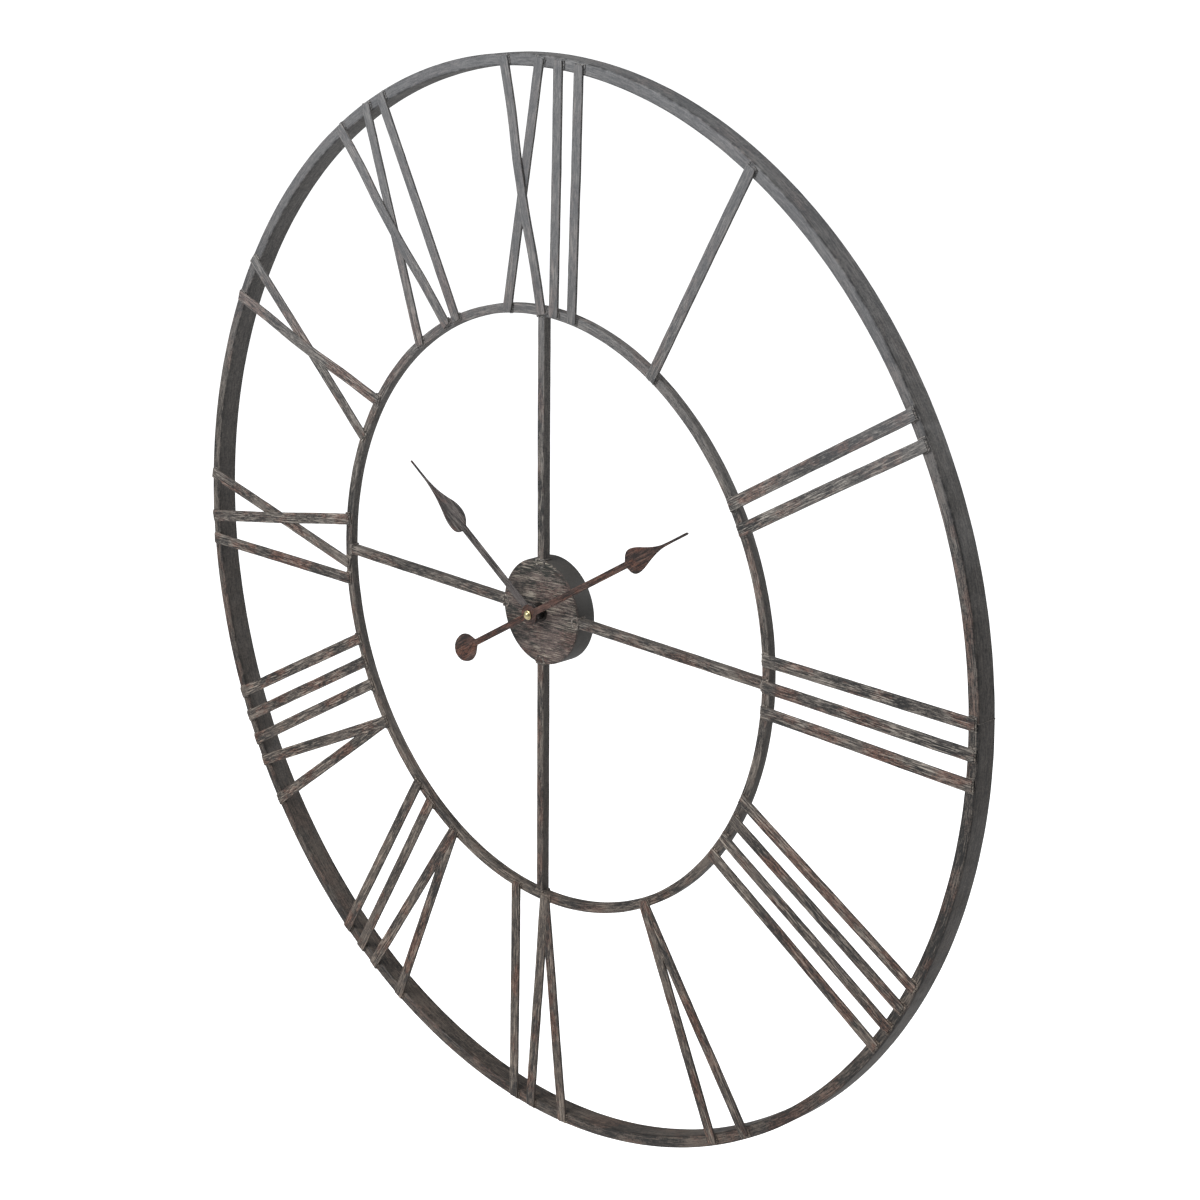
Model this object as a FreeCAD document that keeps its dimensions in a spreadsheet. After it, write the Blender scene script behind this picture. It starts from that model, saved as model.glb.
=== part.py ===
import FreeCAD, Part
import math
import os
import re
import Sketcher
from FreeCAD import Placement, Rotation, Vector
from fcgear import fcgear, involute

# A skeleton wall clock one metre across: two iron rings, numerals made of flat bars welded
# across them, four spokes to a drum at the centre, and a battery quartz movement in the drum.
# Every sub-part is drawn on the dial plane: X to the right, Y up the dial and Z the height
# above the wall. dial_placement() then stands it up, so that in the clock's own frame the
# wall is the plane Y = 0, the front faces -Y, and the origin is the hanging hole.

doc = FreeCAD.newDocument("skeleton_clock")
sheet = doc.addObject("Spreadsheet::Sheet", "Sizes")

SIZES = {
    "frame": {
        "clock_radius": 500.0,
        "ring_face": 11.0,
        "ring_depth": 21.0,
        "ring_wall": 1.5,
        "ring_corner": 1.6,
        "inner_ring_radius": 281.0,
        "inner_bar": 8.6,
        "inner_corner": 1.0,
        "hub_radius": 49.0,
        "hub_wall": 2.0,
        "hub_face_plate": 2.0,
        "hanger_rise": 39.0,
        "hanger_hole_radius": 4.0,
        "hanger_plate_width": 44.0,
        "hanger_plate_low": 31.5,
        "hanger_plate_thickness": 2.0,
    },
    "numerals": {
        "stroke_width": 11.0,
        "stroke_thickness": 2.5,
        "stroke_inset": 2.5,
        "joggle_run": 60.0,
        "i_pitch_outer": 25.5,
        "i_pitch_inner": 23.0,
        "x_spread_outer": 48.0,
        "x_spread_inner": 42.0,
        "v_spread_outer": 45.0,
        "v_spread_inner": 1.0,
        "letter_gap_outer": 23.0,
        "letter_gap_inner": 17.0,
    },
    "hands": {
        "hour_hand_angle": 303.5,
        "minute_hand_angle": 59.0,
        "hand_thickness": 1.6,
        "hand_needle": 2.2,
        "hour_hand_rise": 9.0,
        "hour_stem": 8.0,
        "hour_tip": 201.0,
        "hour_spade_low": 112.0,
        "hour_spade_middle": 126.0,
        "hour_spade_half": 12.0,
        "hour_shoulder": 165.0,
        "minute_hand_rise": 12.6,
        "minute_stem": 6.0,
        "minute_tip": 230.0,
        "minute_spade_low": 146.0,
        "minute_spade_middle": 157.0,
        "minute_spade_half": 10.0,
        "minute_shoulder": 195.0,
        "minute_tail": 99.0,
        "minute_tail_half": 13.0,
        "minute_tail_end": 113.0,
        "minute_tail_end_half": 9.2,
        "hand_boss_radius": 9.5,
        "hour_collet_radius": 4.2,
        "minute_collet_radius": 3.4,
        "hand_collet_step": 1.2,
        "hand_nut_radius": 4.3,
        "hand_nut_height": 3.6,
        "hand_nut_gap": 0.6,
    },
    "movement": {
        "case_side": 56.0,
        "case_corner": 3.0,
        "case_back": 3.0,
        "case_wall": 1.2,
        "rubber_thickness": 0.6,
        "rubber_radius": 14.0,
        "bushing_radius": 3.95,
        "bushing_rise": 5.0,
        "thread_clearance": 0.05,
        "washer_radius": 9.0,
        "washer_thickness": 0.6,
        "nut_flats": 11.0,
        "nut_thickness": 2.4,
        "running_clearance": 0.06,
        "press_clearance": 0.01,
        "hour_tube_radius": 2.55,
        "minute_arbor_radius": 1.5,
        "rear_arbor_radius": 1.0,
        "pivot_radius": 0.6,
        "post_radius": 1.2,
        "post_gap": 0.5,
        "battery_radius": 7.1,
        "battery_length": 49.2,
        "battery_nub_radius": 2.75,
        "battery_nub_length": 1.3,
        "battery_clearance": 0.2,
        "contact_thickness": 0.5,
        "contact_width": 9.0,
        "knob_radius": 4.5,
        "knob_thickness": 1.6,
        "knob_gap": 0.4,
        "knob_notches": 12.0,
    },
    "train": {
        "motion_module": 0.35,
        "train_module": 0.28,
        "mesh_gap": 0.1,
        "tooth_height": 0.8,
        "wheel_shift": -0.15,
        "cannon_teeth": 15.0,
        "reduction_teeth": 45.0,
        "reduction_pinion_teeth": 12.0,
        "hour_teeth": 48.0,
        "centre_teeth": 64.0,
        "third_pinion_teeth": 8.0,
        "third_teeth": 60.0,
        "second_pinion_teeth": 8.0,
        "second_teeth": 50.0,
        "intermediate_pinion_teeth": 10.0,
        "intermediate_teeth": 48.0,
        "rotor_pinion_teeth": 8.0,
        "reduction_bearing": -75.0,
        "third_bearing": 60.0,
        "second_bearing": -15.0,
        "intermediate_bearing": -70.0,
        "rotor_bearing": -80.0,
        "wheel_thickness": 0.8,
        "pinion_overlap": 0.3,
        "centre_layer": 5.0,
        "third_layer": 6.8,
        "second_layer": 8.6,
        "intermediate_layer": 10.4,
        "reduction_layer": 11.9,
        "hour_layer": 13.5,
        "clutch_radius": 2.4,
        "clutch_thickness": 0.3,
        "rotor_magnet_radius": 3.0,
        "rotor_magnet_low": 6.4,
        "rotor_magnet_height": 2.4,
        "stator_gap": 0.4,
        "stator_thickness": 0.8,
        "stator_half_width": 9.5,
        "stator_arm": 3.0,
        "coil_drop": 12.0,
        "coil_core_radius": 1.2,
        "coil_winding_radius": 3.0,
        "coil_length": 11.0,
        "coil_flange_radius": 3.5,
        "coil_flange_thickness": 0.8,
        "board_thickness": 1.0,
        "board_length": 30.0,
        "board_width": 7.5,
        "board_height": 4.8,
        "crystal_radius": 1.0,
        "crystal_length": 6.0,
        "chip_radius": 2.2,
        "chip_height": 0.9,
    },
}


def fill_sheet():
    """One row for each driving dimension, under a heading for its group."""
    row = 1
    for heading, sizes in SIZES.items():
        sheet.set(f"A{row}", heading)
        row += 1
        for name, value in sizes.items():
            sheet.set(f"A{row}", name)
            sheet.set(f"B{row}", str(value))
            sheet.setAlias(f"B{row}", name)
            row += 1
    doc.recompute()


def size(name):
    return float(sheet.get(name))


def cells(text):
    """An expression in which sheet aliases become Sizes.alias, and axis points lose their unit."""
    known = {name for sizes in SIZES.values() for name in sizes}
    text = re.sub("[a-z_]+", lambda word: f"Sizes.{word[0]}" if word[0] in known else word[0], text)
    return re.sub(r"axis_[a-z]+\.[XY]", lambda place: f"( {place[0]} / 1mm )", text)


def bind(obj, **properties):
    """Binds properties to expressions of sheet aliases; base_x stands for Placement.Base.x."""
    paths = {"base_x": "Placement.Base.x", "base_y": "Placement.Base.y", "base_z": "Placement.Base.z"}
    for name, text in properties.items():
        obj.setExpression(paths.get(name, name), cells(text))
    return obj


def dial_placement(obj):
    """Stands a sub-part up on the wall: local Z towards the room, origin at the hanging hole."""
    obj.Placement = Placement(Vector(0, 0, 0), Rotation(Vector(1, 0, 0), 90))
    bind(obj, base_z="0 - hanger_rise")


subparts = []


def subpart(label, *shapes):
    """Groups the solids of one sub-part under its own label and placement."""
    group = doc.addObject("Part::Compound", "part_" + label)
    group.Links = list(shapes)
    group.Label = label
    dial_placement(group)
    subparts.append(group)
    return group


def disc(name, radius, low, high, x="0", y="0"):
    """A round plate or shaft between two heights above the wall."""
    obj = doc.addObject("Part::Cylinder", name)
    return bind(obj, Radius=radius, Height=f"( {high} ) - ( {low} )", base_x=x, base_y=y, base_z=low)


def block(name, left, low, width, height, back, front):
    """A box on the dial plane, from height back to height front above the wall."""
    obj = doc.addObject("Part::Box", name)
    depth = f"( {front} ) - ( {back} )"
    return bind(obj, Length=width, Width=height, Height=depth, base_x=left, base_y=low, base_z=back)


def cut(name, base, *tools):
    """base less every tool."""
    for index, tool in enumerate(tools):
        result = doc.addObject("Part::Cut", name if len(tools) == 1 else f"{name}_{index + 1}")
        result.Base = base
        result.Tool = tool
        base = result
    return base


def fuse(name, *shapes):
    result = doc.addObject("Part::MultiFuse", name)
    result.Shapes = list(shapes)
    return result


def common(name, first, second):
    result = doc.addObject("Part::MultiCommon", name)
    result.Shapes = [first, second]
    return result


def tube(name, outer, inner, low, high, x="0", y="0"):
    whole = disc(name + "_outside", outer, low, high, x, y)
    bore = disc(name + "_bore", inner, f"{low} - 1", f"{high} + 1", x, y)
    return cut(name, whole, bore)


def origin_plane(body, role):
    return next(f for f in body.Origin.OriginFeatures if f.Role == role)


def new_body(label):
    body = doc.addObject("PartDesign::Body", label)
    body.Label = label
    subparts.append(body)
    return body


def new_sketch(body, name, plane):
    sketch = body.newObject("Sketcher::SketchObject", name)
    sketch.AttachmentSupport = [(origin_plane(body, plane), "")]
    sketch.MapMode = "FlatFace"
    return sketch


def rectangle(sketch, left, low, width, height):
    """A rectangle in the sketch, with its place and size bound to the sheet."""
    first = sketch.GeometryCount
    corners = [Vector(10, 10, 0), Vector(20, 10, 0), Vector(20, 20, 0), Vector(10, 20, 0)]
    for index in range(4):
        sketch.addGeometry(Part.LineSegment(corners[index], corners[(index + 1) % 4]), False)
    for index in range(4):
        sketch.addConstraint(
            Sketcher.Constraint("Coincident", first + index, 2, first + (index + 1) % 4, 1)
        )
    for side, direction in ((0, "Horizontal"), (1, "Vertical"), (2, "Horizontal"), (3, "Vertical")):
        sketch.addConstraint(Sketcher.Constraint(direction, first + side))
    for kind, start, text in (
        ("DistanceX", (-1, 1, first, 1), left),
        ("DistanceY", (-1, 1, first, 1), low),
        ("DistanceX", (first, 1, first, 2), width),
        ("DistanceY", (first + 1, 1, first + 1, 2), height),
    ):
        index = sketch.addConstraint(Sketcher.Constraint(kind, *start, 10.0))
        sketch.setExpression(f"Constraints[{index}]", cells(text))


def revolved_ring(label, radius, face, low, depth, corner, wall=None):
    """A bar or a hollow tube of rectangular section bent into a ring, with softened corners."""
    body = new_body(label)
    sketch = new_sketch(body, label + "_section", "XZ_Plane")
    rectangle(sketch, f"{radius} - {face}", low, face, depth)
    if wall:
        rectangle(
            sketch,
            f"{radius} - {face} + {wall}",
            f"{low} + {wall}",
            f"{face} - 2 * {wall}",
            f"{depth} - 2 * {wall}",
        )
    ring = body.newObject("PartDesign::Revolution", label + "_ring")
    ring.Profile = sketch
    ring.ReferenceAxis = (sketch, ["V_Axis"])
    ring.Angle = 360
    doc.recompute()
    radii = (size(radius), size(radius) - size(face))
    edges = []
    for index, edge in enumerate(ring.Shape.Edges):
        if isinstance(edge.Curve, Part.Circle) and any(abs(edge.Curve.Radius - r) < 0.01 for r in radii):
            edges.append(f"Edge{index + 1}")
    fillet = body.newObject("PartDesign::Fillet", label + "_corners")
    fillet.Base = (ring, edges)
    bind(fillet, Radius=corner)
    body.Tip = fillet
    dial_placement(body)
    return body


def build_frame():
    """The two rings, the four spokes, the drum at the centre and its hanging plate."""
    revolved_ring("outer_ring", "clock_radius", "ring_face", "0", "ring_depth", "ring_corner", "ring_wall")
    revolved_ring(
        "inner_ring", "inner_ring_radius", "inner_bar", "ring_depth - inner_bar", "inner_bar", "inner_corner"
    )
    span = tube(
        "spoke_span", "inner_ring_radius - inner_bar", "hub_radius", "ring_depth - inner_bar", "ring_depth"
    )
    for turn, side in enumerate(("right", "top", "left", "bottom")):
        bar = block(
            f"spoke_bar_{side}",
            "0",
            "0",
            "inner_ring_radius",
            "inner_bar",
            "ring_depth - inner_bar",
            "ring_depth",
        )
        along = (1, 0, -1, 0)[turn]
        up = (0, 1, 0, -1)[turn]
        bar.Placement.Rotation = Rotation(Vector(0, 0, 1), 90 * turn)
        bind(bar, base_x=f"{up} * inner_bar / 2", base_y=f"0 - {along} * inner_bar / 2")
        subpart(f"spoke_{side}", common(f"spoke_cut_{side}", bar, span))

    face_back = "ring_depth - hub_face_plate"
    face = disc("hub_face_plate_blank", "hub_radius", face_back, "ring_depth")
    loose = "bushing_radius + 4 * thread_clearance"
    hole = disc("hub_face_hole", loose, f"{face_back} - 1", "ring_depth + 1")
    subpart("hub_face", cut("hub_face_drilled", face, hole))
    subpart("hub_rim", tube("hub_rim_tube", "hub_radius", "hub_radius - hub_wall", "0", face_back))

    plate = block(
        "hanger_blank",
        "0 - hanger_plate_width / 2",
        "hanger_plate_low",
        "hanger_plate_width",
        "hub_radius",
        "0",
        "hanger_plate_thickness",
    )
    inside = disc("hanger_inside", "hub_radius - hub_wall", "0", "hanger_plate_thickness")
    hole = disc(
        "hanger_hole", "hanger_hole_radius", "0 - 1", "hanger_plate_thickness + 1", y="hanger_rise"
    )
    subpart("hanger_plate", cut("hanger_drilled", common("hanger_crescent", plate, inside), hole))


NUMERALS = ("i", "ii", "iii", "iiii", "v", "vi", "vii", "viii", "ix", "x", "xi", "xii")


def numeral_strokes(numeral):
    """Each stroke of a numeral as (letter, place at the outer ring, place at the inner ring).

    The places are expressions, measured clockwise from the numeral's first stroke. X and V
    give their rising stroke first; V's two strokes meet at the inner ring.
    """
    strokes = []
    outer = "0"
    inner = "0"
    previous = ""
    for letter in numeral:
        if previous:
            same = previous == "i" and letter == "i"
            outer += " + i_pitch_outer" if same else " + letter_gap_outer"
            inner += " + i_pitch_inner" if same else " + letter_gap_inner"
        if letter == "i":
            strokes.append(("i", outer, inner))
        elif letter == "x":
            far_outer = outer + " + x_spread_outer"
            far_inner = inner + " + x_spread_inner"
            strokes.append(("x_under", far_outer, inner))
            strokes.append(("x_over", outer, far_inner))
            outer = far_outer
            inner = far_inner
        else:
            middle = inner + " + v_spread_outer / 2"
            strokes.append(("v_under", outer, middle + " - v_spread_inner / 2"))
            strokes.append(("v_over", outer + " + v_spread_outer", middle + " + v_spread_inner / 2"))
            outer += " + v_spread_outer"
            inner += " + v_spread_outer"
        previous = letter
    return [(kind, f"{o} - ( {outer} ) / 2", f"{i} - ( {inner} ) / 2") for kind, o, i in strokes]


def flat_stroke(name, outer, inner, width="stroke_width", side="stroke_width / 2"):
    """A straight flat bar lying on both rings, a little longer than its finished length."""
    bar = doc.addObject("Part::Box", name)
    run = "( clock_radius - inner_ring_radius )"
    lean = f"( ( {outer} ) - ( {inner} ) )"
    bar.Placement.Rotation = Rotation(Vector(0, 0, 1), 90)
    long = f"sqrt( {run} ^ 2 + {lean} ^ 2 ) + 2 * ring_depth"
    bind(bar, Length=long, Width=width, Height="stroke_thickness")
    bar.setExpression("Placement.Rotation.Angle", cells(f"90deg - atan( {lean} / {run} )"))
    return place_stroke(bar, outer, inner, side)


def place_stroke(bar, outer, inner, side="stroke_width / 2"):
    """Lays a bar on the rings, starting ring_depth inside the inner ring's edge.

    side is how far its clockwise edge stands from the line between its two places.
    """
    run = "( clock_radius - inner_ring_radius )"
    lean = f"( ( {outer} ) - ( {inner} ) )"
    long = f"sqrt( {run} ^ 2 + {lean} ^ 2 )"
    return bind(
        bar,
        base_x=f"{inner} - ring_depth * {lean} / {long} + {side} * {run} / {long}",
        base_y=f"inner_ring_radius - ring_depth * {run} / {long} - {side} * {lean} / {long}",
        base_z="ring_depth",
    )


def joggled_stroke(name, outer, inner):
    """A flat bar that lies on both rings and is bowed up over the stroke that it crosses."""
    run = size("clock_radius") - size("inner_ring_radius")
    lean = value_of(outer) - value_of(inner)
    long = math.hypot(run, lean)
    overhang = size("ring_depth")
    lift = size("stroke_thickness")
    middle = overhang + long / 2
    flat = size("stroke_width") / math.sin(2 * math.atan(abs(lean) / run))
    ramp = min(size("joggle_run"), (long - flat) / 2 - 1)
    stations = (0, middle - flat / 2 - ramp, middle - flat / 2, middle + flat / 2, middle + flat / 2 + ramp)
    heights = (0, 0, lift, lift, 0)
    lower = [Vector(x, 0, h) for x, h in zip(stations, heights)] + [Vector(2 * middle, 0, 0)]
    upper = [point + Vector(0, 0, lift) for point in reversed(lower)]
    outline = Part.makePolygon(lower + upper + lower[:1])
    bar = doc.addObject("Part::Feature", name)
    bar.Shape = Part.Face(outline).extrude(Vector(0, size("stroke_width"), 0))
    turn = 90 - math.degrees(math.atan(lean / run))
    bar.Placement = Placement(Vector(0, 0, 0), Rotation(Vector(0, 0, 1), turn))
    return place_stroke(bar, outer, inner)


def value_of(text):
    """The number that an expression of sheet aliases gives."""
    probe = doc.getObject("probe") or doc.addObject("Part::Vertex", "probe")
    bind(probe, X=text)
    probe.recompute()
    return probe.X.Value


def build_numerals():
    """Twelve numerals, reading outwards, each a group of flat bars trimmed to the two rings."""
    band = tube(
        "numeral_band",
        "clock_radius - stroke_inset",
        "inner_ring_radius - inner_bar",
        "ring_depth",
        "ring_depth + 3 * stroke_thickness",
    )
    for hour, numeral in enumerate(NUMERALS, start=1):
        bars = {}
        for index, (kind, outer, inner) in enumerate(numeral_strokes(numeral)):
            name = f"{numeral}_{index + 1}"
            make = joggled_stroke if kind == "x_over" else flat_stroke
            bar = make(name + "_bar", outer, inner)
            if kind == "v_over":
                wide = "4 * stroke_width"
                beyond = flat_stroke(name + "_beyond", outer, inner, wide, "7 * stroke_width / 2")
                bars["v_under"] = cut(name + "_mitred", bars["v_under"], beyond)
            bars[kind if kind.startswith("v") else name] = bar
        trimmed = [common(bar.Name + "_trimmed", bar, band) for bar in bars.values()]
        letter = doc.addObject("Part::Compound", f"{numeral}_letters")
        letter.Links = trimmed
        letter.Placement = Placement(Vector(0, 0, 0), Rotation(Vector(0, 0, 1), -30 * hour))
        subpart(f"numeral_{numeral}", letter)


def hand_outline(sketch, stations):
    """A closed outline, symmetrical about the sketch's Y axis, from (distance, half width, curve).

    curve is "line" where the edge runs straight to the next station, or a bulge: how far an
    arc's middle stands outside the chord.
    """
    right = [Vector(half, along, 0) for along, half, _ in stations]
    for side in (1, -1):
        for start, end, (_, _, bulge) in zip(right, right[1:], stations):
            a = Vector(side * start.x, start.y, 0)
            b = Vector(side * end.x, end.y, 0)
            if not bulge:
                sketch.addGeometry(Part.LineSegment(a, b), False)
                continue
            chord = b - a
            normal = Vector(chord.y, -chord.x, 0).normalize() * side
            middle = (a + b) / 2 + normal * bulge
            sketch.addGeometry(Part.Arc(a, middle, b), False)
    for end in (right[0], right[-1]):
        if end.x > 0:
            sketch.addGeometry(Part.LineSegment(end, Vector(-end.x, end.y, 0)), False)


def hand(label, low, stations, angle, bore, collet, collet_low, collet_high, tail=None):
    """A hand cut from sheet, with a round boss and a collet that grips its arbor."""
    body = new_body(label)
    thickness = "hand_thickness"

    def pad(name, draw, height, base):
        sketch = new_sketch(body, name + "_outline", "XY_Plane")
        sketch.setExpression("AttachmentOffset.Base.z", cells(base))
        draw(sketch)
        feature = body.newObject("PartDesign::Pad", name)
        feature.Profile = sketch
        bind(feature, Length=height)
        return feature

    def circle(radius):
        def draw(sketch):
            index = sketch.addGeometry(Part.Circle(Vector(0, 0, 0), Vector(0, 0, 1), 1.0), False)
            sketch.addConstraint(Sketcher.Constraint("Coincident", index, 3, -1, 1))
            diameter = sketch.addConstraint(Sketcher.Constraint("Diameter", index, 2.0))
            sketch.setExpression(f"Constraints[{diameter}]", cells(f"2 * ( {radius} )"))
        return draw

    pad(label + "_blade", lambda sketch: hand_outline(sketch, stations), thickness, low)
    if tail:
        pad(label + "_tail", lambda sketch: hand_outline(sketch, tail), thickness, low)
    pad(label + "_boss", circle("hand_boss_radius"), thickness, low)
    pad(label + "_collet", circle(collet), f"{collet_high} - ( {collet_low} )", collet_low)
    sketch = new_sketch(body, label + "_bore_outline", "XY_Plane")
    sketch.setExpression("AttachmentOffset.Base.z", cells(f"{collet_low} - 1"))
    circle(bore)(sketch)
    hole = body.newObject("PartDesign::Pocket", label + "_bore")
    hole.Profile = sketch
    hole.Reversed = True
    bind(hole, Length=f"{collet_high} - ( {collet_low} ) + 2")
    body.Tip = hole
    body.Placement = Placement(
        Vector(0, 0, 0), Rotation(Vector(1, 0, 0), 90).multiply(Rotation(Vector(0, 0, 1), -size(angle)))
    )
    bind(body, base_z="0 - hanger_rise")
    return body


def build_hands():
    """Spade hands: the hour hand has no tail, the minute hand has an egg-shaped one."""
    needle = size("hand_needle") / 2
    for name, bore, collet in (
        ("hour", "hour_tube_radius + press_clearance", "hour_collet_radius"),
        ("minute", "minute_arbor_radius + press_clearance", "minute_collet_radius"),
    ):
        stem = size(f"{name}_stem") / 2
        low = size(f"{name}_spade_low")
        middle = size(f"{name}_spade_middle")
        half = size(f"{name}_spade_half")
        shoulder = size(f"{name}_shoulder")
        tip = size(f"{name}_tip")
        blade = [
            (0, stem, 0),
            (low, stem, (middle - low) * 0.3),
            (middle, half, -half * 0.12),
            (shoulder, needle, 0),
            (tip, needle / 4, 0),
        ]
        tail = None
        if name == "minute":
            wide = size("minute_tail")
            half = size("minute_tail_half")
            end = size("minute_tail_end")
            end_half = size("minute_tail_end_half")
            tail = [
                (0, stem, 0),
                (-(wide - half), stem, half * 0.3),
                (-wide, half, half * 0.05),
                (-end, end_half, end_half * 0.3),
                (-(end + end_half / 2), end_half * 0.35, 0),
            ]
        height = f"ring_depth + {name}_hand_rise"
        hand(
            f"{name}_hand",
            height,
            blade,
            f"{name}_hand_angle",
            bore,
            collet,
            f"{height} - hand_collet_step",
            f"{height} + hand_thickness + hand_collet_step / 3",
            tail,
        )


def axis_point(name, before, distance, bearing):
    """The place of an arbor on the dial plane: a distance and a bearing from the one before."""
    point = doc.addObject("Part::Vertex", name)
    start = {"X": "0", "Y": "0"} if before is None else {"X": f"{before}.X", "Y": f"{before}.Y"}
    point.setExpression("X", cells(f"{start['X']} + ( {distance} ) * cos( {bearing} * 1deg )"))
    point.setExpression("Y", cells(f"{start['Y']} + ( {distance} ) * sin( {bearing} * 1deg )"))
    return point


def mesh_distance(module, first, second):
    """Centre distance of two gears, a little over the sum of their pitch radii for backlash."""
    return f"{module} * ( ( {first} + {second} ) / 2 + mesh_gap )"


def gear(name, teeth, module, low, thickness, axis, phase, shift="0"):
    """An involute gear of the given tooth count, with one tooth pointing along phase."""
    wires = fcgear.FCWireBuilder()
    involute.CreateExternalGear(
        wires,
        size(module),
        int(size(teeth)),
        20,
        split=False,
        addCoeff=size("tooth_height"),
        dedCoeff=1.25,
        filletCoeff=0.2,
        shiftCoeff=value_of(shift),
    )
    profile = doc.addObject("Part::Feature", name + "_teeth")
    profile.Shape = Part.Face(Part.Wire([edge.toShape() for edge in wires.wire]))
    blank = doc.addObject("Part::Extrusion", name)
    blank.Base = profile
    blank.DirMode = "Custom"
    blank.Dir = Vector(0, 0, 1)
    blank.Solid = True
    blank.Placement = Placement(Vector(0, 0, 0), Rotation(Vector(0, 0, 1), 30))
    bind(blank, LengthFwd=thickness, base_z=low)
    blank.setExpression("Placement.Rotation.Angle", cells(f"( {phase} ) * 1deg"))
    if axis:
        bind(blank, base_x=f"{axis}.X", base_y=f"{axis}.Y")
    return blank


def wheel(name, teeth, module, layer, axis, phase):
    return gear(name, teeth, module, layer, "wheel_thickness", axis, phase, "wheel_shift")


def pinion(name, teeth, module, layer, axis, bearing):
    """A pinion under the wheel that drives it: a gap between teeth faces back along bearing."""
    low = f"{layer} - pinion_overlap"
    thickness = "wheel_thickness + 2 * pinion_overlap"
    return gear(name, teeth, module, low, thickness, axis, f"{bearing} + 180 + 180 / {teeth}")


def arbor(name, low, high, axis, radius="pivot_radius"):
    return disc(name, radius, low, high, f"{axis}.X", f"{axis}.Y")


HOUR_HAND = "ring_depth + hour_hand_rise"
MINUTE_HAND = "ring_depth + minute_hand_rise"
BUSHING_END = "ring_depth + bushing_rise"
CASE_FRONT = "ring_depth - hub_face_plate - rubber_thickness"
CASE_INSIDE = f"{CASE_FRONT} - case_wall"
BACK_INSIDE = "case_back + case_wall"
BATTERY_X = "0 - ( case_side / 2 - case_wall - battery_clearance - battery_radius )"
BATTERY_HEIGHT = f"{CASE_INSIDE} - battery_clearance - battery_radius"
BAY_WALL = "0 - ( case_side / 2 - 2 * case_wall - 3 * battery_clearance - 2 * battery_radius )"


def train_posts():
    """The axes of the case's pivot posts, and the height that each post reaches down to."""
    top_of = "wheel_thickness + pinion_overlap + post_gap"
    return {
        "axis_third": f"third_layer + {top_of}",
        "axis_second": f"second_layer + {top_of}",
        "axis_intermediate": f"intermediate_layer + {top_of}",
        "axis_rotor": f"intermediate_layer + {top_of}",
        "axis_reduction": f"hour_layer + {top_of}",
    }


def build_axes():
    """The arbors' places, each at its mesh distance from the one that it meshes with."""
    axis_point(
        "axis_reduction",
        None,
        mesh_distance("motion_module", "cannon_teeth", "reduction_teeth"),
        "reduction_bearing",
    )
    axis_point(
        "axis_third",
        None,
        mesh_distance("train_module", "centre_teeth", "third_pinion_teeth"),
        "third_bearing",
    )
    axis_point(
        "axis_second",
        "axis_third",
        mesh_distance("train_module", "third_teeth", "second_pinion_teeth"),
        "second_bearing",
    )
    axis_point(
        "axis_intermediate",
        "axis_second",
        mesh_distance("train_module", "second_teeth", "intermediate_pinion_teeth"),
        "intermediate_bearing",
    )
    axis_point(
        "axis_rotor",
        "axis_intermediate",
        mesh_distance("train_module", "intermediate_teeth", "rotor_pinion_teeth"),
        "rotor_bearing",
    )
    doc.recompute()


def rounded_square(name, side, corner, low, high):
    """A square block centred on the dial axis with its four upright edges rounded."""
    whole = block(name + "_block", f"0 - {side} / 2", f"0 - {side} / 2", side, side, low, high)
    doc.recompute()
    fillet = doc.addObject("Part::Fillet", name)
    fillet.Base = whole
    upright = [
        index + 1
        for index, edge in enumerate(whole.Shape.Edges)
        if abs(edge.tangentAt(edge.FirstParameter).z) > 0.9
    ]
    fillet.Edges = [(index, size(corner), size(corner)) for index in upright]
    return fillet


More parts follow.
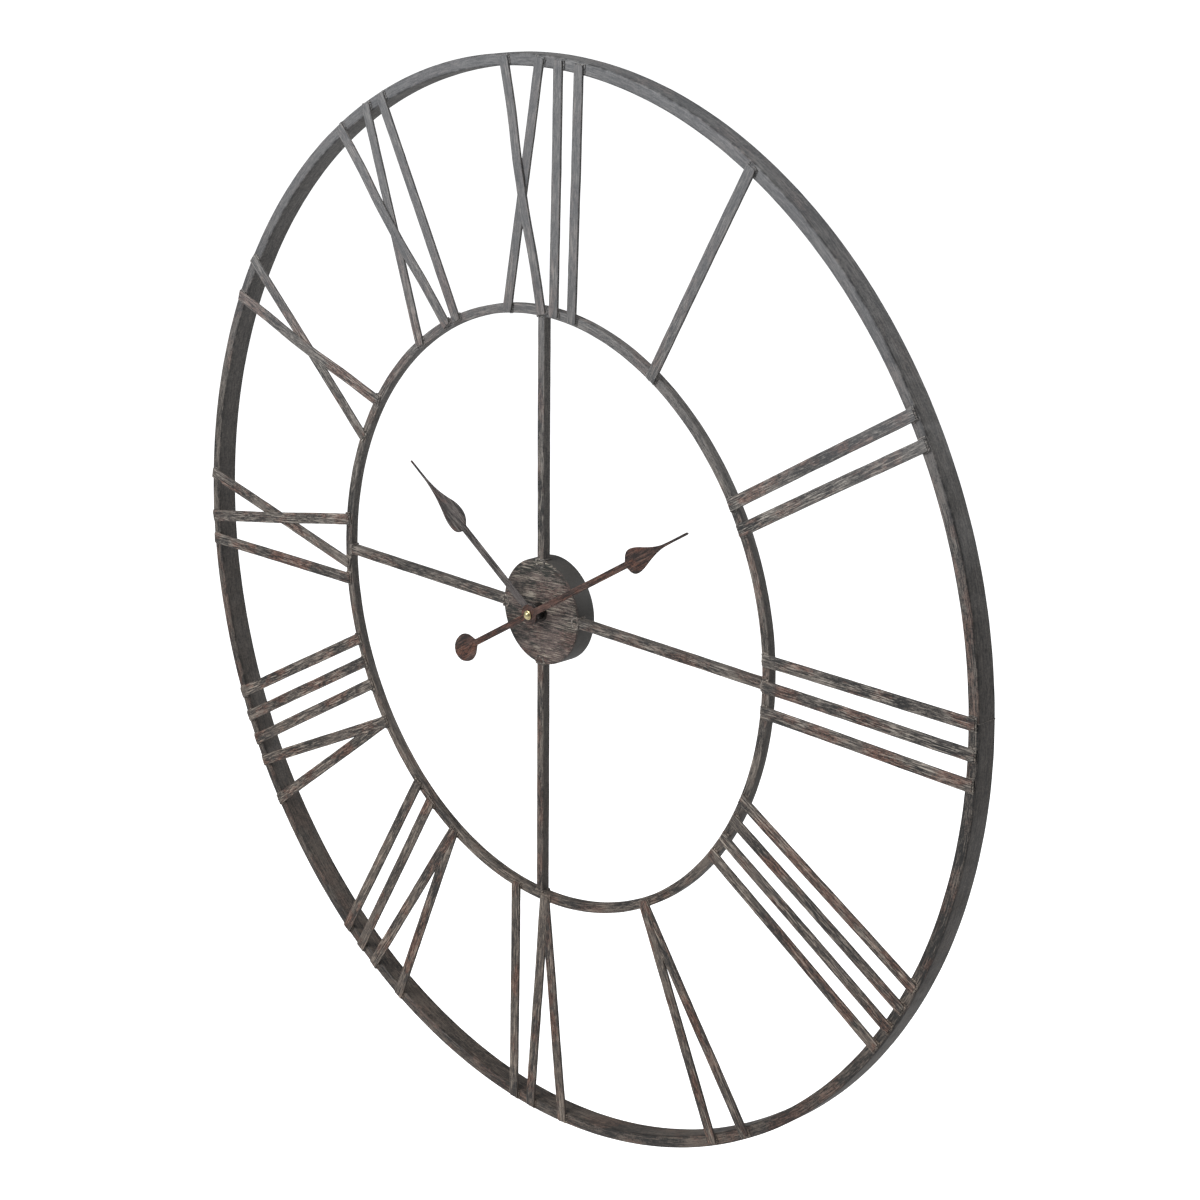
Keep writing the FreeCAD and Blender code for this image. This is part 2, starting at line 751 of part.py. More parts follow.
def build_case():
    """The movement's moulded case with its threaded bushing and pivot posts, and its back cover."""
    shell = rounded_square("case_shell", "case_side", "case_corner", "case_back + case_wall", CASE_FRONT)
    hollow = block(
        "case_hollow",
        "0 - case_side / 2 + case_wall",
        "0 - case_side / 2 + case_wall",
        "case_side - 2 * case_wall",
        "case_side - 2 * case_wall",
        "case_back",
        CASE_INSIDE,
    )
    walls = cut("case_walls", shell, hollow)
    bay = block(
        "case_bay_wall",
        BAY_WALL,
        "0 - case_side / 2 + case_wall / 2",
        "case_wall",
        "case_side - case_wall",
        BACK_INSIDE,
        f"{CASE_INSIDE} + case_wall / 2",
    )
    bushing = disc("case_bushing", "bushing_radius", CASE_INSIDE, BUSHING_END)
    solid = [walls, bay, bushing]
    around_pipe = "hour_tube_radius + running_clearance"
    around_pivot = "pivot_radius + running_clearance"
    holes = [disc("case_bore", around_pipe, f"{CASE_INSIDE} - 1", f"{BUSHING_END} + 1")]
    for axis, low in train_posts().items():
        post = axis.replace("axis", "post")
        solid.append(arbor(post, low, f"{CASE_INSIDE} + case_wall / 2", axis, "post_radius"))
        holes.append(arbor(post + "_hole", f"{low} - 1", CASE_INSIDE, axis, around_pivot))
    subpart("movement_case", cut("case_drilled", fuse("case_moulding", *solid), *holes))

    cover = rounded_square("cover_plate", "case_side", "case_corner", "case_back", BACK_INSIDE)
    opening = block(
        "cover_battery_opening",
        f"{BATTERY_X} - battery_radius - battery_clearance / 2",
        "0 - case_side / 2 + case_wall",
        "2 * battery_radius + battery_clearance",
        "case_side - 2 * case_wall",
        "case_back - 1",
        f"{BACK_INSIDE} + 1",
    )
    around_arbor = "rear_arbor_radius + running_clearance"
    holes = [
        opening,
        disc("cover_centre_hole", around_arbor, "case_back - 1", f"{BACK_INSIDE} + 1"),
    ]
    for axis in ("axis_third", "axis_second", "axis_intermediate", "axis_rotor"):
        name = axis.replace("axis", "cover_hole")
        holes.append(arbor(name, "case_back - 1", f"{BACK_INSIDE} + 1", axis, around_pivot))
    name = "cover_hole_reduction"
    holes.append(arbor(name, "case_back - 1", f"{BACK_INSIDE} + 1", "axis_reduction", around_arbor))
    subpart("movement_back_cover", cut("cover_drilled", cover, *holes))


def build_fixing():
    """What clamps the movement to the drum's face: rubber washer, steel washer and hexagon nut."""
    loose = "bushing_radius + thread_clearance"
    rubber_front = f"{CASE_FRONT} + rubber_thickness"
    subpart("rubber_washer", tube("rubber_ring", "rubber_radius", loose, CASE_FRONT, rubber_front))
    washer_front = "ring_depth + washer_thickness"
    subpart("steel_washer", tube("washer_ring", "washer_radius", loose, "ring_depth", washer_front))
    nut = doc.addObject("Part::Prism", "nut_hexagon")
    nut.Polygon = 6
    bind(nut, Circumradius="nut_flats / sqrt( 3 )", Height="nut_thickness", base_z=washer_front)
    bore = disc("nut_bore", loose, "ring_depth", f"{washer_front} + nut_thickness + 1")
    subpart("movement_nut", cut("nut_drilled", nut, bore))


def build_battery():
    """An AA cell in its open bay, and the two sprung contacts at its ends."""
    length = "( battery_length + battery_nub_length )"
    can = doc.addObject("Part::Cylinder", "battery_can")
    nub = doc.addObject("Part::Cylinder", "battery_nub")
    for obj in (can, nub):
        obj.Placement = Placement(Vector(0, 0, 0), Rotation(Vector(1, 0, 0), -90))
        bind(obj, base_x=BATTERY_X, base_z=BATTERY_HEIGHT)
    bind(can, Radius="battery_radius", Height="battery_length", base_y=f"0 - {length} / 2")
    bind(nub, Radius="battery_nub_radius", Height=length, base_y=f"0 - {length} / 2")
    subpart("battery", fuse("battery_cell", can, nub))
    wall = "case_side / 2 - case_wall"
    for label, low in (
        ("contact_positive", f"{length} / 2"),
        ("contact_negative", f"0 - {length} / 2 - contact_thickness"),
    ):
        spring = block(
            label + "_leaf",
            f"{BATTERY_X} - contact_width / 2",
            low,
            "contact_width",
            "contact_thickness",
            f"{BATTERY_HEIGHT} - contact_width / 2",
            f"{BATTERY_HEIGHT} + contact_width / 2",
        )
        side = "1" if label == "contact_positive" else "-1"
        heel = block(
            label + "_heel",
            f"{BATTERY_X} - contact_width / 2",
            f"{low}" if side == "1" else f"0 - ( {wall} )",
            "contact_width",
            f"( {wall} ) - {length} / 2",
            f"{BATTERY_HEIGHT} + contact_width / 2 - contact_thickness",
            f"{BATTERY_HEIGHT} + contact_width / 2",
        )
        subpart(label, fuse(label + "_bent", spring, heel))


def build_motion_works():
    """The arbor that carries the minute hand, the reduction wheel with its knob, the hour wheel."""
    nut_low = f"{MINUTE_HAND} + hand_thickness + hand_nut_gap"
    minute_top = f"{nut_low} + hand_nut_height"
    rear = disc("minute_rear", "rear_arbor_radius", "case_back", "reduction_layer")
    cannon_low = "reduction_layer - pinion_overlap"
    front = disc("minute_front", "minute_arbor_radius", cannon_low, f"{minute_top} - 1")
    cannon = gear(
        "cannon_pinion",
        "cannon_teeth",
        "motion_module",
        "reduction_layer - pinion_overlap",
        "wheel_thickness + 2 * pinion_overlap",
        None,
        "reduction_bearing",
    )
    subpart("minute_arbor", fuse("minute_arbor_turned", rear, front, cannon))

    reduction = wheel(
        "reduction_wheel_blank",
        "reduction_teeth",
        "motion_module",
        "reduction_layer",
        "axis_reduction",
        "reduction_bearing + 180 + 180 / reduction_teeth",
    )
    small = pinion(
        "reduction_pinion",
        "reduction_pinion_teeth",
        "motion_module",
        "hour_layer",
        "axis_reduction",
        "reduction_bearing",
    )
    stub = arbor("reduction_stub", "reduction_layer", f"{CASE_INSIDE} - running_clearance", "axis_reduction")
    link = arbor("reduction_link", "reduction_layer", "hour_layer", "axis_reduction", "rear_arbor_radius")
    knob_low = "case_back - knob_gap - knob_thickness"
    inside_knob = f"{knob_low} + knob_thickness / 2"
    stem = arbor("knob_stem", inside_knob, "reduction_layer", "axis_reduction", "rear_arbor_radius")
    subpart("reduction_wheel", fuse("reduction_moulding", reduction, small, stub, link))
    knob = arbor("knob_disc", knob_low, "case_back - knob_gap", "axis_reduction", "knob_radius")
    notches = doc.addObject("Part::Compound", "knob_notches_round")
    copies = []
    for index in range(int(size("knob_notches"))):
        turn = 360 * index / size("knob_notches")
        copy = doc.addObject("Part::Cylinder", f"knob_notch_{index + 1}")
        bind(
            copy,
            Radius="knob_radius / 8",
            Height="knob_thickness + 2",
            base_x=f"axis_reduction.X + knob_radius * cos( {turn} * 1deg )",
            base_y=f"axis_reduction.Y + knob_radius * sin( {turn} * 1deg )",
            base_z=f"{knob_low} - 1",
        )
        copies.append(copy)
    notches.Links = copies
    subpart("set_knob", fuse("knob_with_stem", cut("knob_notched", knob, notches), stem))

    hour = wheel(
        "hour_wheel_blank", "hour_teeth", "motion_module", "hour_layer", None, "reduction_bearing"
    )
    pipe_end = f"{HOUR_HAND} + hand_thickness + hand_collet_step / 3"
    pipe = disc("hour_pipe", "hour_tube_radius", "hour_layer", pipe_end)
    bore = disc("hour_bore", "minute_arbor_radius + running_clearance", "hour_layer - 1", MINUTE_HAND)
    subpart("hour_wheel", cut("hour_bored", fuse("hour_moulding", hour, pipe), bore))

    cap = disc("hand_nut_body", "hand_nut_radius", nut_low, minute_top)
    on_arbor = "minute_arbor_radius + press_clearance"
    hole = disc("hand_nut_bore", on_arbor, f"{nut_low} - 1", f"{minute_top} - 1 + press_clearance")
    subpart("hand_nut", cut("hand_nut_drilled", cap, hole))


def build_train():
    """The going train, from the stepping rotor to the centre wheel that drives the minute arbor."""
    centre = wheel("centre_ring", "centre_teeth", "train_module", "centre_layer", None, "third_bearing")
    boss_low = "centre_layer - pinion_overlap"
    boss_high = "centre_layer + wheel_thickness + pinion_overlap"
    boss = disc("centre_boss", "clutch_radius", boss_low, boss_high)
    around_arbor = "rear_arbor_radius + running_clearance"
    bore = disc("centre_bore", around_arbor, "centre_layer - 2", "centre_layer + 3")
    subpart("centre_wheel", cut("centre_bored", fuse("centre_moulding", centre, boss), bore))
    spring_low = "centre_layer + wheel_thickness + pinion_overlap + press_clearance"
    subpart(
        "clutch_spring",
        tube(
            "clutch_ring",
            "clutch_radius",
            "rear_arbor_radius + press_clearance",
            spring_low,
            f"{spring_low} + clutch_thickness",
        ),
    )
    top = f"{CASE_INSIDE} - running_clearance"
    bottom = "case_back"
    stages = (
        ("third", "third_layer", "centre_layer", "second_bearing", "third_bearing"),
        ("second", "second_layer", "third_layer", "intermediate_bearing", "second_bearing"),
        ("intermediate", "intermediate_layer", "second_layer", "rotor_bearing", "intermediate_bearing"),
    )
    for name, wheel_layer, pinion_layer, towards, back in stages:
        axis = f"axis_{name}"
        large = wheel(f"{name}_wheel_teeth_ring", f"{name}_teeth", "train_module", wheel_layer, axis, towards)
        small = pinion(f"{name}_pinion", f"{name}_pinion_teeth", "train_module", pinion_layer, axis, back)
        shaft = arbor(f"{name}_arbor", bottom, top, axis)
        subpart(f"{name}_wheel", fuse(f"{name}_moulding", large, small, shaft))
    small = pinion(
        "rotor_pinion_teeth_ring",
        "rotor_pinion_teeth",
        "train_module",
        "intermediate_layer",
        "axis_rotor",
        "rotor_bearing",
    )
    subpart("rotor_pinion", fuse("rotor_moulding", small, arbor("rotor_arbor", bottom, top, "axis_rotor")))
    magnet = tube(
        "rotor_magnet_ring",
        "rotor_magnet_radius",
        "pivot_radius + press_clearance",
        "rotor_magnet_low",
        "rotor_magnet_low + rotor_magnet_height",
        "axis_rotor.X",
        "axis_rotor.Y",
    )
    subpart("rotor_magnet", magnet)


def build_motor():
    """The stepping motor's stator and coil below the rotor, and the board that drives it."""
    low = "rotor_magnet_low + rotor_magnet_height / 2 - stator_thickness / 2"
    high = f"{low} + stator_thickness"
    left = "axis_rotor.X - stator_half_width"
    bottom = "axis_rotor.Y - coil_drop - stator_arm / 2"
    plate = block(
        "stator_blank",
        left,
        bottom,
        "2 * stator_half_width - stator_arm / 2",
        "coil_drop + stator_arm / 2 + rotor_magnet_radius + stator_arm / 2",
        low,
        high,
    )
    window = block(
        "stator_window",
        f"{left} + stator_arm",
        f"{bottom} - 1",
        "2 * stator_half_width - 2.5 * stator_arm",
        "coil_drop - rotor_magnet_radius - stator_arm / 2",
        f"{low} - 1",
        f"{high} + 1",
    )
    eye = disc(
        "stator_eye",
        "rotor_magnet_radius + stator_gap",
        f"{low} - 1",
        f"{high} + 1",
        "axis_rotor.X",
        "axis_rotor.Y",
    )
    subpart("stator", cut("stator_stamping", plate, window, eye))

    centre_x = "axis_rotor.X - stator_arm / 4"
    centre_y = "axis_rotor.Y - coil_drop"
    height = f"{high} + coil_core_radius"

    def lying(name, radius, length, offset="0"):
        obj = doc.addObject("Part::Cylinder", name)
        obj.Placement = Placement(Vector(0, 0, 0), Rotation(Vector(0, 1, 0), 90))
        x = f"{centre_x} - ( {length} ) / 2 + {offset}"
        return bind(obj, Radius=radius, Height=length, base_x=x, base_y=centre_y, base_z=height)

    core = lying("coil_core_rod", "coil_core_radius", "2 * stator_half_width - stator_arm / 2")
    subpart("coil_core", core)
    bore = lying("coil_bobbin_bore", "coil_core_radius + press_clearance", "coil_length + 4")
    sleeve = lying("coil_sleeve", "coil_core_radius + 0.5", "coil_length")
    out = "( coil_length - coil_flange_thickness ) / 2"
    ends = [
        lying(f"coil_flange_{end}", "coil_flange_radius", "coil_flange_thickness", f"{sign} * {out}")
        for end, sign in (("left", "-1"), ("right", "1"))
    ]
    subpart("coil_bobbin", cut("bobbin_bored", fuse("bobbin_moulding", sleeve, *ends), bore))
    between = "coil_length - 2 * coil_flange_thickness - 2 * press_clearance"
    copper = lying("coil_copper", "coil_winding_radius", between)
    inside = lying("coil_copper_bore", "coil_core_radius + 0.5 + press_clearance", "coil_length")
    subpart("coil_winding", cut("coil_wound", copper, inside))

    right = "case_side / 2 - case_wall - battery_clearance"
    board_low = f"{right} - board_width"
    board = block(
        "board_blank",
        f"{right} - board_length",
        board_low,
        "board_length",
        "board_width",
        "board_height",
        "board_height + board_thickness",
    )
    subpart("circuit_board", board)
    crystal = doc.addObject("Part::Cylinder", "crystal_can")
    crystal.Placement = Placement(Vector(0, 0, 0), Rotation(Vector(0, 1, 0), 90))
    bind(
        crystal,
        Radius="crystal_radius",
        Height="crystal_length",
        base_x=f"{right} - board_length + 4",
        base_y=f"{right} - board_width / 2",
        base_z="board_height + board_thickness + crystal_radius + press_clearance",
    )
    subpart("quartz_crystal", crystal)
    chip = disc(
        "chip_resin",
        "chip_radius",
        "board_height + board_thickness",
        "board_height + board_thickness + chip_height",
        f"{right} - board_length / 2",
        f"{right} - board_width / 2",
    )
    subpart("driver_chip", chip)


def check_and_export():
    doc.recompute()
    for obj in doc.Objects:
        if "Invalid" in obj.State or "Error" in obj.State:
            raise RuntimeError(f"{obj.Name} failed to build: {obj.State}")
    os.makedirs("parts", exist_ok=True)
    for obj in subparts:
        if obj.Shape.isNull() or not obj.Shape.isValid() or not obj.Shape.Solids:
            raise RuntimeError(f"{obj.Label} has no valid solid")
    for obj in subparts:
        obj.Shape.exportStep(f"parts/{obj.Label}.step")


fill_sheet()
build_frame()
build_numerals()
build_hands()
build_axes()
build_case()
build_fixing()
build_battery()
build_motion_works()
build_train()
build_motor()
check_and_export()
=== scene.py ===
import math
import random

import bmesh
import bpy
from mathutils import Matrix, Vector


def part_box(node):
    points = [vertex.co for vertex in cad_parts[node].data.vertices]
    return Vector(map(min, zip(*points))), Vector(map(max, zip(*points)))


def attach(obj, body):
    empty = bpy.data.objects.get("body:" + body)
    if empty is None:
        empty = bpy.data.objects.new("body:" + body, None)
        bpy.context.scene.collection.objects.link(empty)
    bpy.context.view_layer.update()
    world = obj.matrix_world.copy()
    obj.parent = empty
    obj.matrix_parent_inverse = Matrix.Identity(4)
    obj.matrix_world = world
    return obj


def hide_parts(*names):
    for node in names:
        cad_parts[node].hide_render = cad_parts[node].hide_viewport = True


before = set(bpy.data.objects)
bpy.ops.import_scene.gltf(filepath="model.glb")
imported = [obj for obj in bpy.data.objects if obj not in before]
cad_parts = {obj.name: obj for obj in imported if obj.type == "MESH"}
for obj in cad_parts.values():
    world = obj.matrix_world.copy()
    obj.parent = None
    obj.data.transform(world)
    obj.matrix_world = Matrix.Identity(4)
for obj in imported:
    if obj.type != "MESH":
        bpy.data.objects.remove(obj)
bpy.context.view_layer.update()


# ---- Camera and studio ----
# The clock is seen from its right and a little above, by a long lens. It hangs in front of
# nothing: a plain pale floor lies under it, and soft panels light it from above and the left.

ring_low, ring_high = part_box("outer_ring")
clock_radius = (ring_high.x - ring_low.x) / 2
dial_centre = Vector((0, 0, (ring_high.z + ring_low.z) / 2))
frame_front = -ring_low.y


def aim_camera(azimuth, elevation, roll, distance, target, lens, shift_up):
    """A camera that looks at target from azimuth (to the right) and elevation, in degrees."""
    turn, rise, tilt = (math.radians(angle) for angle in (azimuth, elevation, roll))
    back = Vector((math.sin(turn) * math.cos(rise), -math.cos(turn) * math.cos(rise), math.sin(rise)))
    right = Vector((0, 0, 1)).cross(back).normalized()
    up = back.cross(right)
    side = right * math.cos(tilt) + up * math.sin(tilt)
    top = up * math.cos(tilt) - right * math.sin(tilt)
    data = bpy.data.cameras.new("camera")
    data.lens = lens
    data.sensor_width = 36
    data.shift_y = shift_up
    data.clip_end = 50
    camera = bpy.data.objects.new("camera", data)
    bpy.context.scene.collection.objects.link(camera)
    matrix = Matrix((side, top, back)).transposed().to_4x4()
    matrix.translation = target + back * distance
    camera.matrix_world = matrix
    bpy.context.scene.camera = camera


aim_camera(
    azimuth=45.963,
    elevation=15.23,
    roll=0.498,
    distance=4.6024 * clock_radius,
    target=dial_centre + Vector((0.1535 * clock_radius, -frame_front, 0.2410 * clock_radius)),
    lens=79.06,
    shift_up=-1 / 12,
)


def soft_panel(name, place, size, power, colour):
    """A square area light that faces the clock's centre."""
    data = bpy.data.lights.new(name, "AREA")
    data.size = size
    data.energy = power
    data.color = colour
    panel = bpy.data.objects.new(name, data)
    panel.location = place
    panel.rotation_mode = "QUATERNION"
    panel.rotation_quaternion = (Vector(place) - dial_centre).to_track_quat("Z", "Y")
    bpy.context.scene.collection.objects.link(panel)


soft_panel("key_panel", (-1.0, -2.6, 1.9), 1.6, 66, (1.0, 0.99, 0.98))
soft_panel("top_panel", (0.4, -0.5, 3.0), 1.6, 30, (0.97, 0.985, 1.0))
soft_panel("back_panel", (1.6, 2.6, 1.2), 1.8, 26, (1.0, 1.0, 1.0))


def wire(tree, kind, sockets=None, **settings):
    """Adds a node. sockets gives each input a value, or the output that feeds it."""
    node = tree.nodes.new(kind)
    for name, value in settings.items():
        setattr(node, name, value)
    for key, value in (sockets or {}).items():
        if isinstance(value, bpy.types.NodeSocket):
            tree.links.new(value, node.inputs[key])
        else:
            node.inputs[key].default_value = value
    return node


def new_material(name):
    """An empty node material, its tree and its output."""
    material = bpy.data.materials.new(name)
    material.use_nodes = True
    tree = material.node_tree
    tree.nodes.clear()
    return material, tree, tree.nodes.new("ShaderNodeOutputMaterial")


def white_surroundings():
    """White all round for the camera, and a softer grey dome for the light that it gives."""
    world = bpy.data.worlds.new("white_room")
    world.use_nodes = True
    tree = world.node_tree
    tree.nodes.clear()
    output = tree.nodes.new("ShaderNodeOutputWorld")
    seen = wire(tree, "ShaderNodeBackground", {"Color": (1, 1, 1, 1), "Strength": 1.0})
    dome = wire(tree, "ShaderNodeBackground", {"Color": (0.94, 0.97, 1.0, 1), "Strength": 0.21})
    path = tree.nodes.new("ShaderNodeLightPath")
    to_camera = path.outputs["Is Camera Ray"]
    mix = wire(tree, "ShaderNodeMixShader", {0: to_camera, 1: dome.outputs[0], 2: seen.outputs[0]})
    tree.links.new(mix.outputs[0], output.inputs[0])
    bpy.context.scene.world = world
    bpy.context.scene.view_settings.view_transform = "Standard"


white_surroundings()

FLOOR_DROP = 0.30
floor_mesh = bpy.data.meshes.new("floor")
floor_mesh.from_pydata([(-30, -30, 0), (30, -30, 0), (30, 30, 0), (-30, 30, 0)], [], [(0, 1, 2, 3)])
floor_mesh.transform(Matrix.Translation((0, 0, ring_low.z - FLOOR_DROP)))
floor = bpy.data.objects.new("floor", floor_mesh)
bpy.context.scene.collection.objects.link(floor)
floor_paint, tree, output = new_material("floor_paint")
shader = wire(tree, "ShaderNodeBsdfPrincipled", {"Base Color": (0.95, 0.95, 0.95, 1), "Roughness": 0.9})
glow = wire(tree, "ShaderNodeEmission", {"Color": (1, 1, 1, 1), "Strength": 0.95})
seen = tree.nodes.new("ShaderNodeLightPath").outputs["Is Camera Ray"]
lit = wire(tree, "ShaderNodeAddShader", {0: shader.outputs[0], 1: glow.outputs[0]})
mix = wire(tree, "ShaderNodeMixShader", {0: seen, 1: shader.outputs[0], 2: lit.outputs[0]})
tree.links.new(mix.outputs[0], output.inputs[0])
floor_mesh.materials.append(floor_paint)


# ---- Outer ring ----
# The rim of the clock: rectangular steel tube, bent into a hoop on rollers and closed by one
# butt weld beside the three o'clock. It is painted graphite, then dry brushed and rusted.

OUTER_RING = {"face": 0.011, "depth": 0.021, "corner": 0.0016}
OUTER_SEAM_DEGREES = 3.0


def named_sockets(tree, inputs, outputs):
    """Declares a node group's inputs (name: (type, value)) and outputs (name: type)."""
    for name, (kind, value) in inputs.items():
        socket = tree.interface.new_socket(name, in_out="INPUT", socket_type="NodeSocket" + kind)
        if value is not None:
            socket.default_value = value
    for name, kind in outputs.items():
        tree.interface.new_socket(name, in_out="OUTPUT", socket_type="NodeSocket" + kind)
    return tree.nodes.new("NodeGroupInput"), tree.nodes.new("NodeGroupOutput")


def calc(tree, operation, *values):
    """One Math node's result."""
    return wire(tree, "ShaderNodeMath", dict(enumerate(values)), operation=operation).outputs[0]


def stretch(tree, vector, scale):
    return wire(tree, "ShaderNodeVectorMath", {0: vector, 1: scale}, operation="MULTIPLY").outputs[0]


def noise(tree, vector, scale, detail=2.0, roughness=0.5, output="Fac"):
    sockets = {"Vector": vector, "Scale": scale, "Detail": detail, "Roughness": roughness}
    return wire(tree, "ShaderNodeTexNoise", sockets).outputs[output]


def band(tree, value, low, high, top=1.0):
    """0 below low, rising smoothly to top above high."""
    sockets = {"Value": value, "From Min": low, "From Max": high, "To Max": top}
    return wire(tree, "ShaderNodeMapRange", sockets, interpolation_type="SMOOTHSTEP").outputs["Result"]


def blend_colour(tree, amount, first, second):
    mix = wire(tree, "ShaderNodeMix", {0: amount, 6: first, 7: second}, data_type="RGBA")
    return mix.outputs[2]


def jostled(tree, geometry, colour, amount):
    """Moves each point by a noise colour, less its mean, times amount."""
    centred = wire(tree, "ShaderNodeVectorMath", {0: colour, 1: (0.5, 0.5, 0.5)}, operation="SUBTRACT")
    offset = wire(tree, "ShaderNodeVectorMath", {0: centred.outputs[0], "Scale": amount}, operation="SCALE")
    moved = wire(tree, "GeometryNodeSetPosition", {"Geometry": geometry, "Offset": offset.outputs[0]})
    return moved.outputs[0]


def finish_tree(tree, geometry, material, result):
    """Gives a tree's geometry its material and puts it out."""
    painted = wire(tree, "GeometryNodeSetMaterial", {"Geometry": geometry, "Material": material})
    tree.links.new(painted.outputs[0], result.inputs[0])


def swept_bar_tree():
    """Geometry nodes: an iron bar of rectangular section swept along each path in the dial plane.

    It leaves three attributes for the finish: grain, metres along, across and through the bar;
    rim, the same across and through as shares of the section, -0.5 to 0.5; and tone, one a bar.
    """
    tree = bpy.data.node_groups.new("swept_bar", "GeometryNodeTree")
    given, result = named_sockets(
        tree,
        {
            "Paths": ("Geometry", None),
            "Face": ("Float", 0.01),
            "Depth": ("Float", 0.01),
            "Corner": ("Float", 0.001),
            "Step": ("Float", 0.005),
            "End Size": ("Float", 1.0),
            "Hammering": ("Float", 0.0003),
            "Wander": ("Float", 0.0),
            "Seed": ("Float", 0.0),
            "Finish": ("Material", None),
        },
        {"Bars": "Geometry"},
    )
    value = given.outputs
    curves = wire(tree, "GeometryNodeMeshToCurve", {0: value["Paths"]})
    by_step = {"Curve": curves.outputs[0], "Length": value["Step"]}
    even = wire(tree, "GeometryNodeResampleCurve", by_step, mode="LENGTH")
    spline = tree.nodes.new("GeometryNodeSplineParameter")
    measured = wire(
        tree,
        "GeometryNodeStoreNamedAttribute",
        {"Geometry": even.outputs[0], "Name": "along", "Value": spline.outputs["Length"]},
    )
    level = wire(tree, "GeometryNodeSetCurveNormal", {"Curve": measured.outputs[0]}, mode="Z_UP")
    ends = tree.nodes.new("GeometryNodeCurveEndpointSelection")
    shrink = calc(tree, "SUBTRACT", 1.0, value["End Size"])
    end_scale = calc(tree, "SUBTRACT", 1.0, calc(tree, "MULTIPLY", ends.outputs[0], shrink))
    sides = {"Width": value["Face"], "Height": value["Depth"]}
    section = wire(tree, "GeometryNodeCurvePrimitiveQuadrilateral", sides)
    rounded = wire(
        tree,
        "GeometryNodeFilletCurve",
        {"Curve": section.outputs[0], "Radius": value["Corner"], "Count": 3},
        mode="POLY",
    )
    place = tree.nodes.new("GeometryNodeInputPosition")
    marked = wire(
        tree,
        "GeometryNodeStoreNamedAttribute",
        {"Geometry": rounded.outputs[0], "Name": "section", "Value": place.outputs[0]},
        data_type="FLOAT_VECTOR",
    )
    swept = wire(
        tree,
        "GeometryNodeCurveToMesh",
        {"Curve": level.outputs[0], "Profile Curve": marked.outputs[0], "Scale": end_scale, "Fill Caps": True},
    )
    along = wire(tree, "GeometryNodeInputNamedAttribute", {"Name": "along"})
    across = wire(tree, "GeometryNodeInputNamedAttribute", {"Name": "section"}, data_type="FLOAT_VECTOR")
    split = wire(tree, "ShaderNodeSeparateXYZ", {0: across.outputs["Attribute"]})
    grain = wire(
        tree,
        "ShaderNodeCombineXYZ",
        {"X": along.outputs["Attribute"], "Y": split.outputs["X"], "Z": split.outputs["Y"]},
    )
    rim = wire(
        tree,
        "ShaderNodeCombineXYZ",
        {
            "X": calc(tree, "DIVIDE", split.outputs["X"], value["Face"]),
            "Y": calc(tree, "DIVIDE", split.outputs["Y"], value["Depth"]),
        },
    )
    grained = wire(
        tree,
        "GeometryNodeStoreNamedAttribute",
        {"Geometry": swept.outputs[0], "Name": "grain", "Value": grain.outputs[0]},
        data_type="FLOAT_VECTOR",
    )
    rimmed = wire(
        tree,
        "GeometryNodeStoreNamedAttribute",
        {"Geometry": grained.outputs[0], "Name": "rim", "Value": rim.outputs[0]},
        data_type="FLOAT_VECTOR",
    )
    moved = rimmed.outputs[0]
    for scale, amount in ((55.0, value["Hammering"]), (5.0, value["Wander"])):
        waves = {"W": value["Seed"], "Scale": scale, "Detail": 1.0}
        ripple = wire(tree, "ShaderNodeTexNoise", waves, noise_dimensions="4D").outputs["Color"]
        moved = jostled(tree, moved, ripple, amount)
    real = wire(tree, "GeometryNodeRealizeInstances", {0: moved})
    finish_tree(tree, real.outputs[0], value["Finish"], result)
    return tree


SWEPT_BAR = swept_bar_tree()


def path_mesh(name, paths, tones):
    """A mesh of open paths, each a list of points, with one tone stored on each path."""
    points = [point for path in paths for point in path]
    edges = []
    first = 0
    for path in paths:
        edges += [(first + index, first + index + 1) for index in range(len(path) - 1)]
        first += len(path)
    mesh = bpy.data.meshes.new(name)
    mesh.from_pydata(points, edges, [])
    shades = mesh.attributes.new("tone", "FLOAT", "POINT")
    shades.data.foreach_set("value", [tone for path, tone in zip(paths, tones) for _ in path])
    return mesh


def stand_up():
    """From the dial plane (right, up, out of the wall) to the clock's own frame."""
    return Matrix.Translation(dial_centre) @ Matrix.Rotation(math.pi / 2, 4, "X")


def finished_piece(name, mesh, body, nodes, crease_degrees=28):
    """Puts a finished mesh, in the clock's own frame, on its body; nodes are what it stands for."""
    mesh.name = name
    mesh.shade_smooth()
    mesh.set_sharp_from_angle(angle=math.radians(crease_degrees))
    piece = bpy.data.objects.new(name, mesh)
    bpy.context.scene.collection.objects.link(piece)
    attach(piece, body)
    if nodes:
        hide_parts(*nodes)
    return piece


def grown_piece(name, tree, mesh, values, body, nodes, crease_degrees=15):
    """Runs a geometry nodes tree on a mesh of paths, and keeps the plain mesh that comes out."""
    source = bpy.data.objects.new(name + "_paths", mesh)
    bpy.context.scene.collection.objects.link(source)
    modifier = source.modifiers.new(tree.name, "NODES")
    modifier.node_group = tree
    for item in tree.interface.items_tree:
        if item.in_out == "INPUT" and item.name in values:
            modifier[item.identifier] = values[item.name]
    graph = bpy.context.evaluated_depsgraph_get()
    made = bpy.data.meshes.new_from_object(source.evaluated_get(graph), depsgraph=graph)
    source.modifiers.clear()
    bpy.data.objects.remove(source)
    made.transform(stand_up())
    return finished_piece(name, made, body, nodes, crease_degrees)


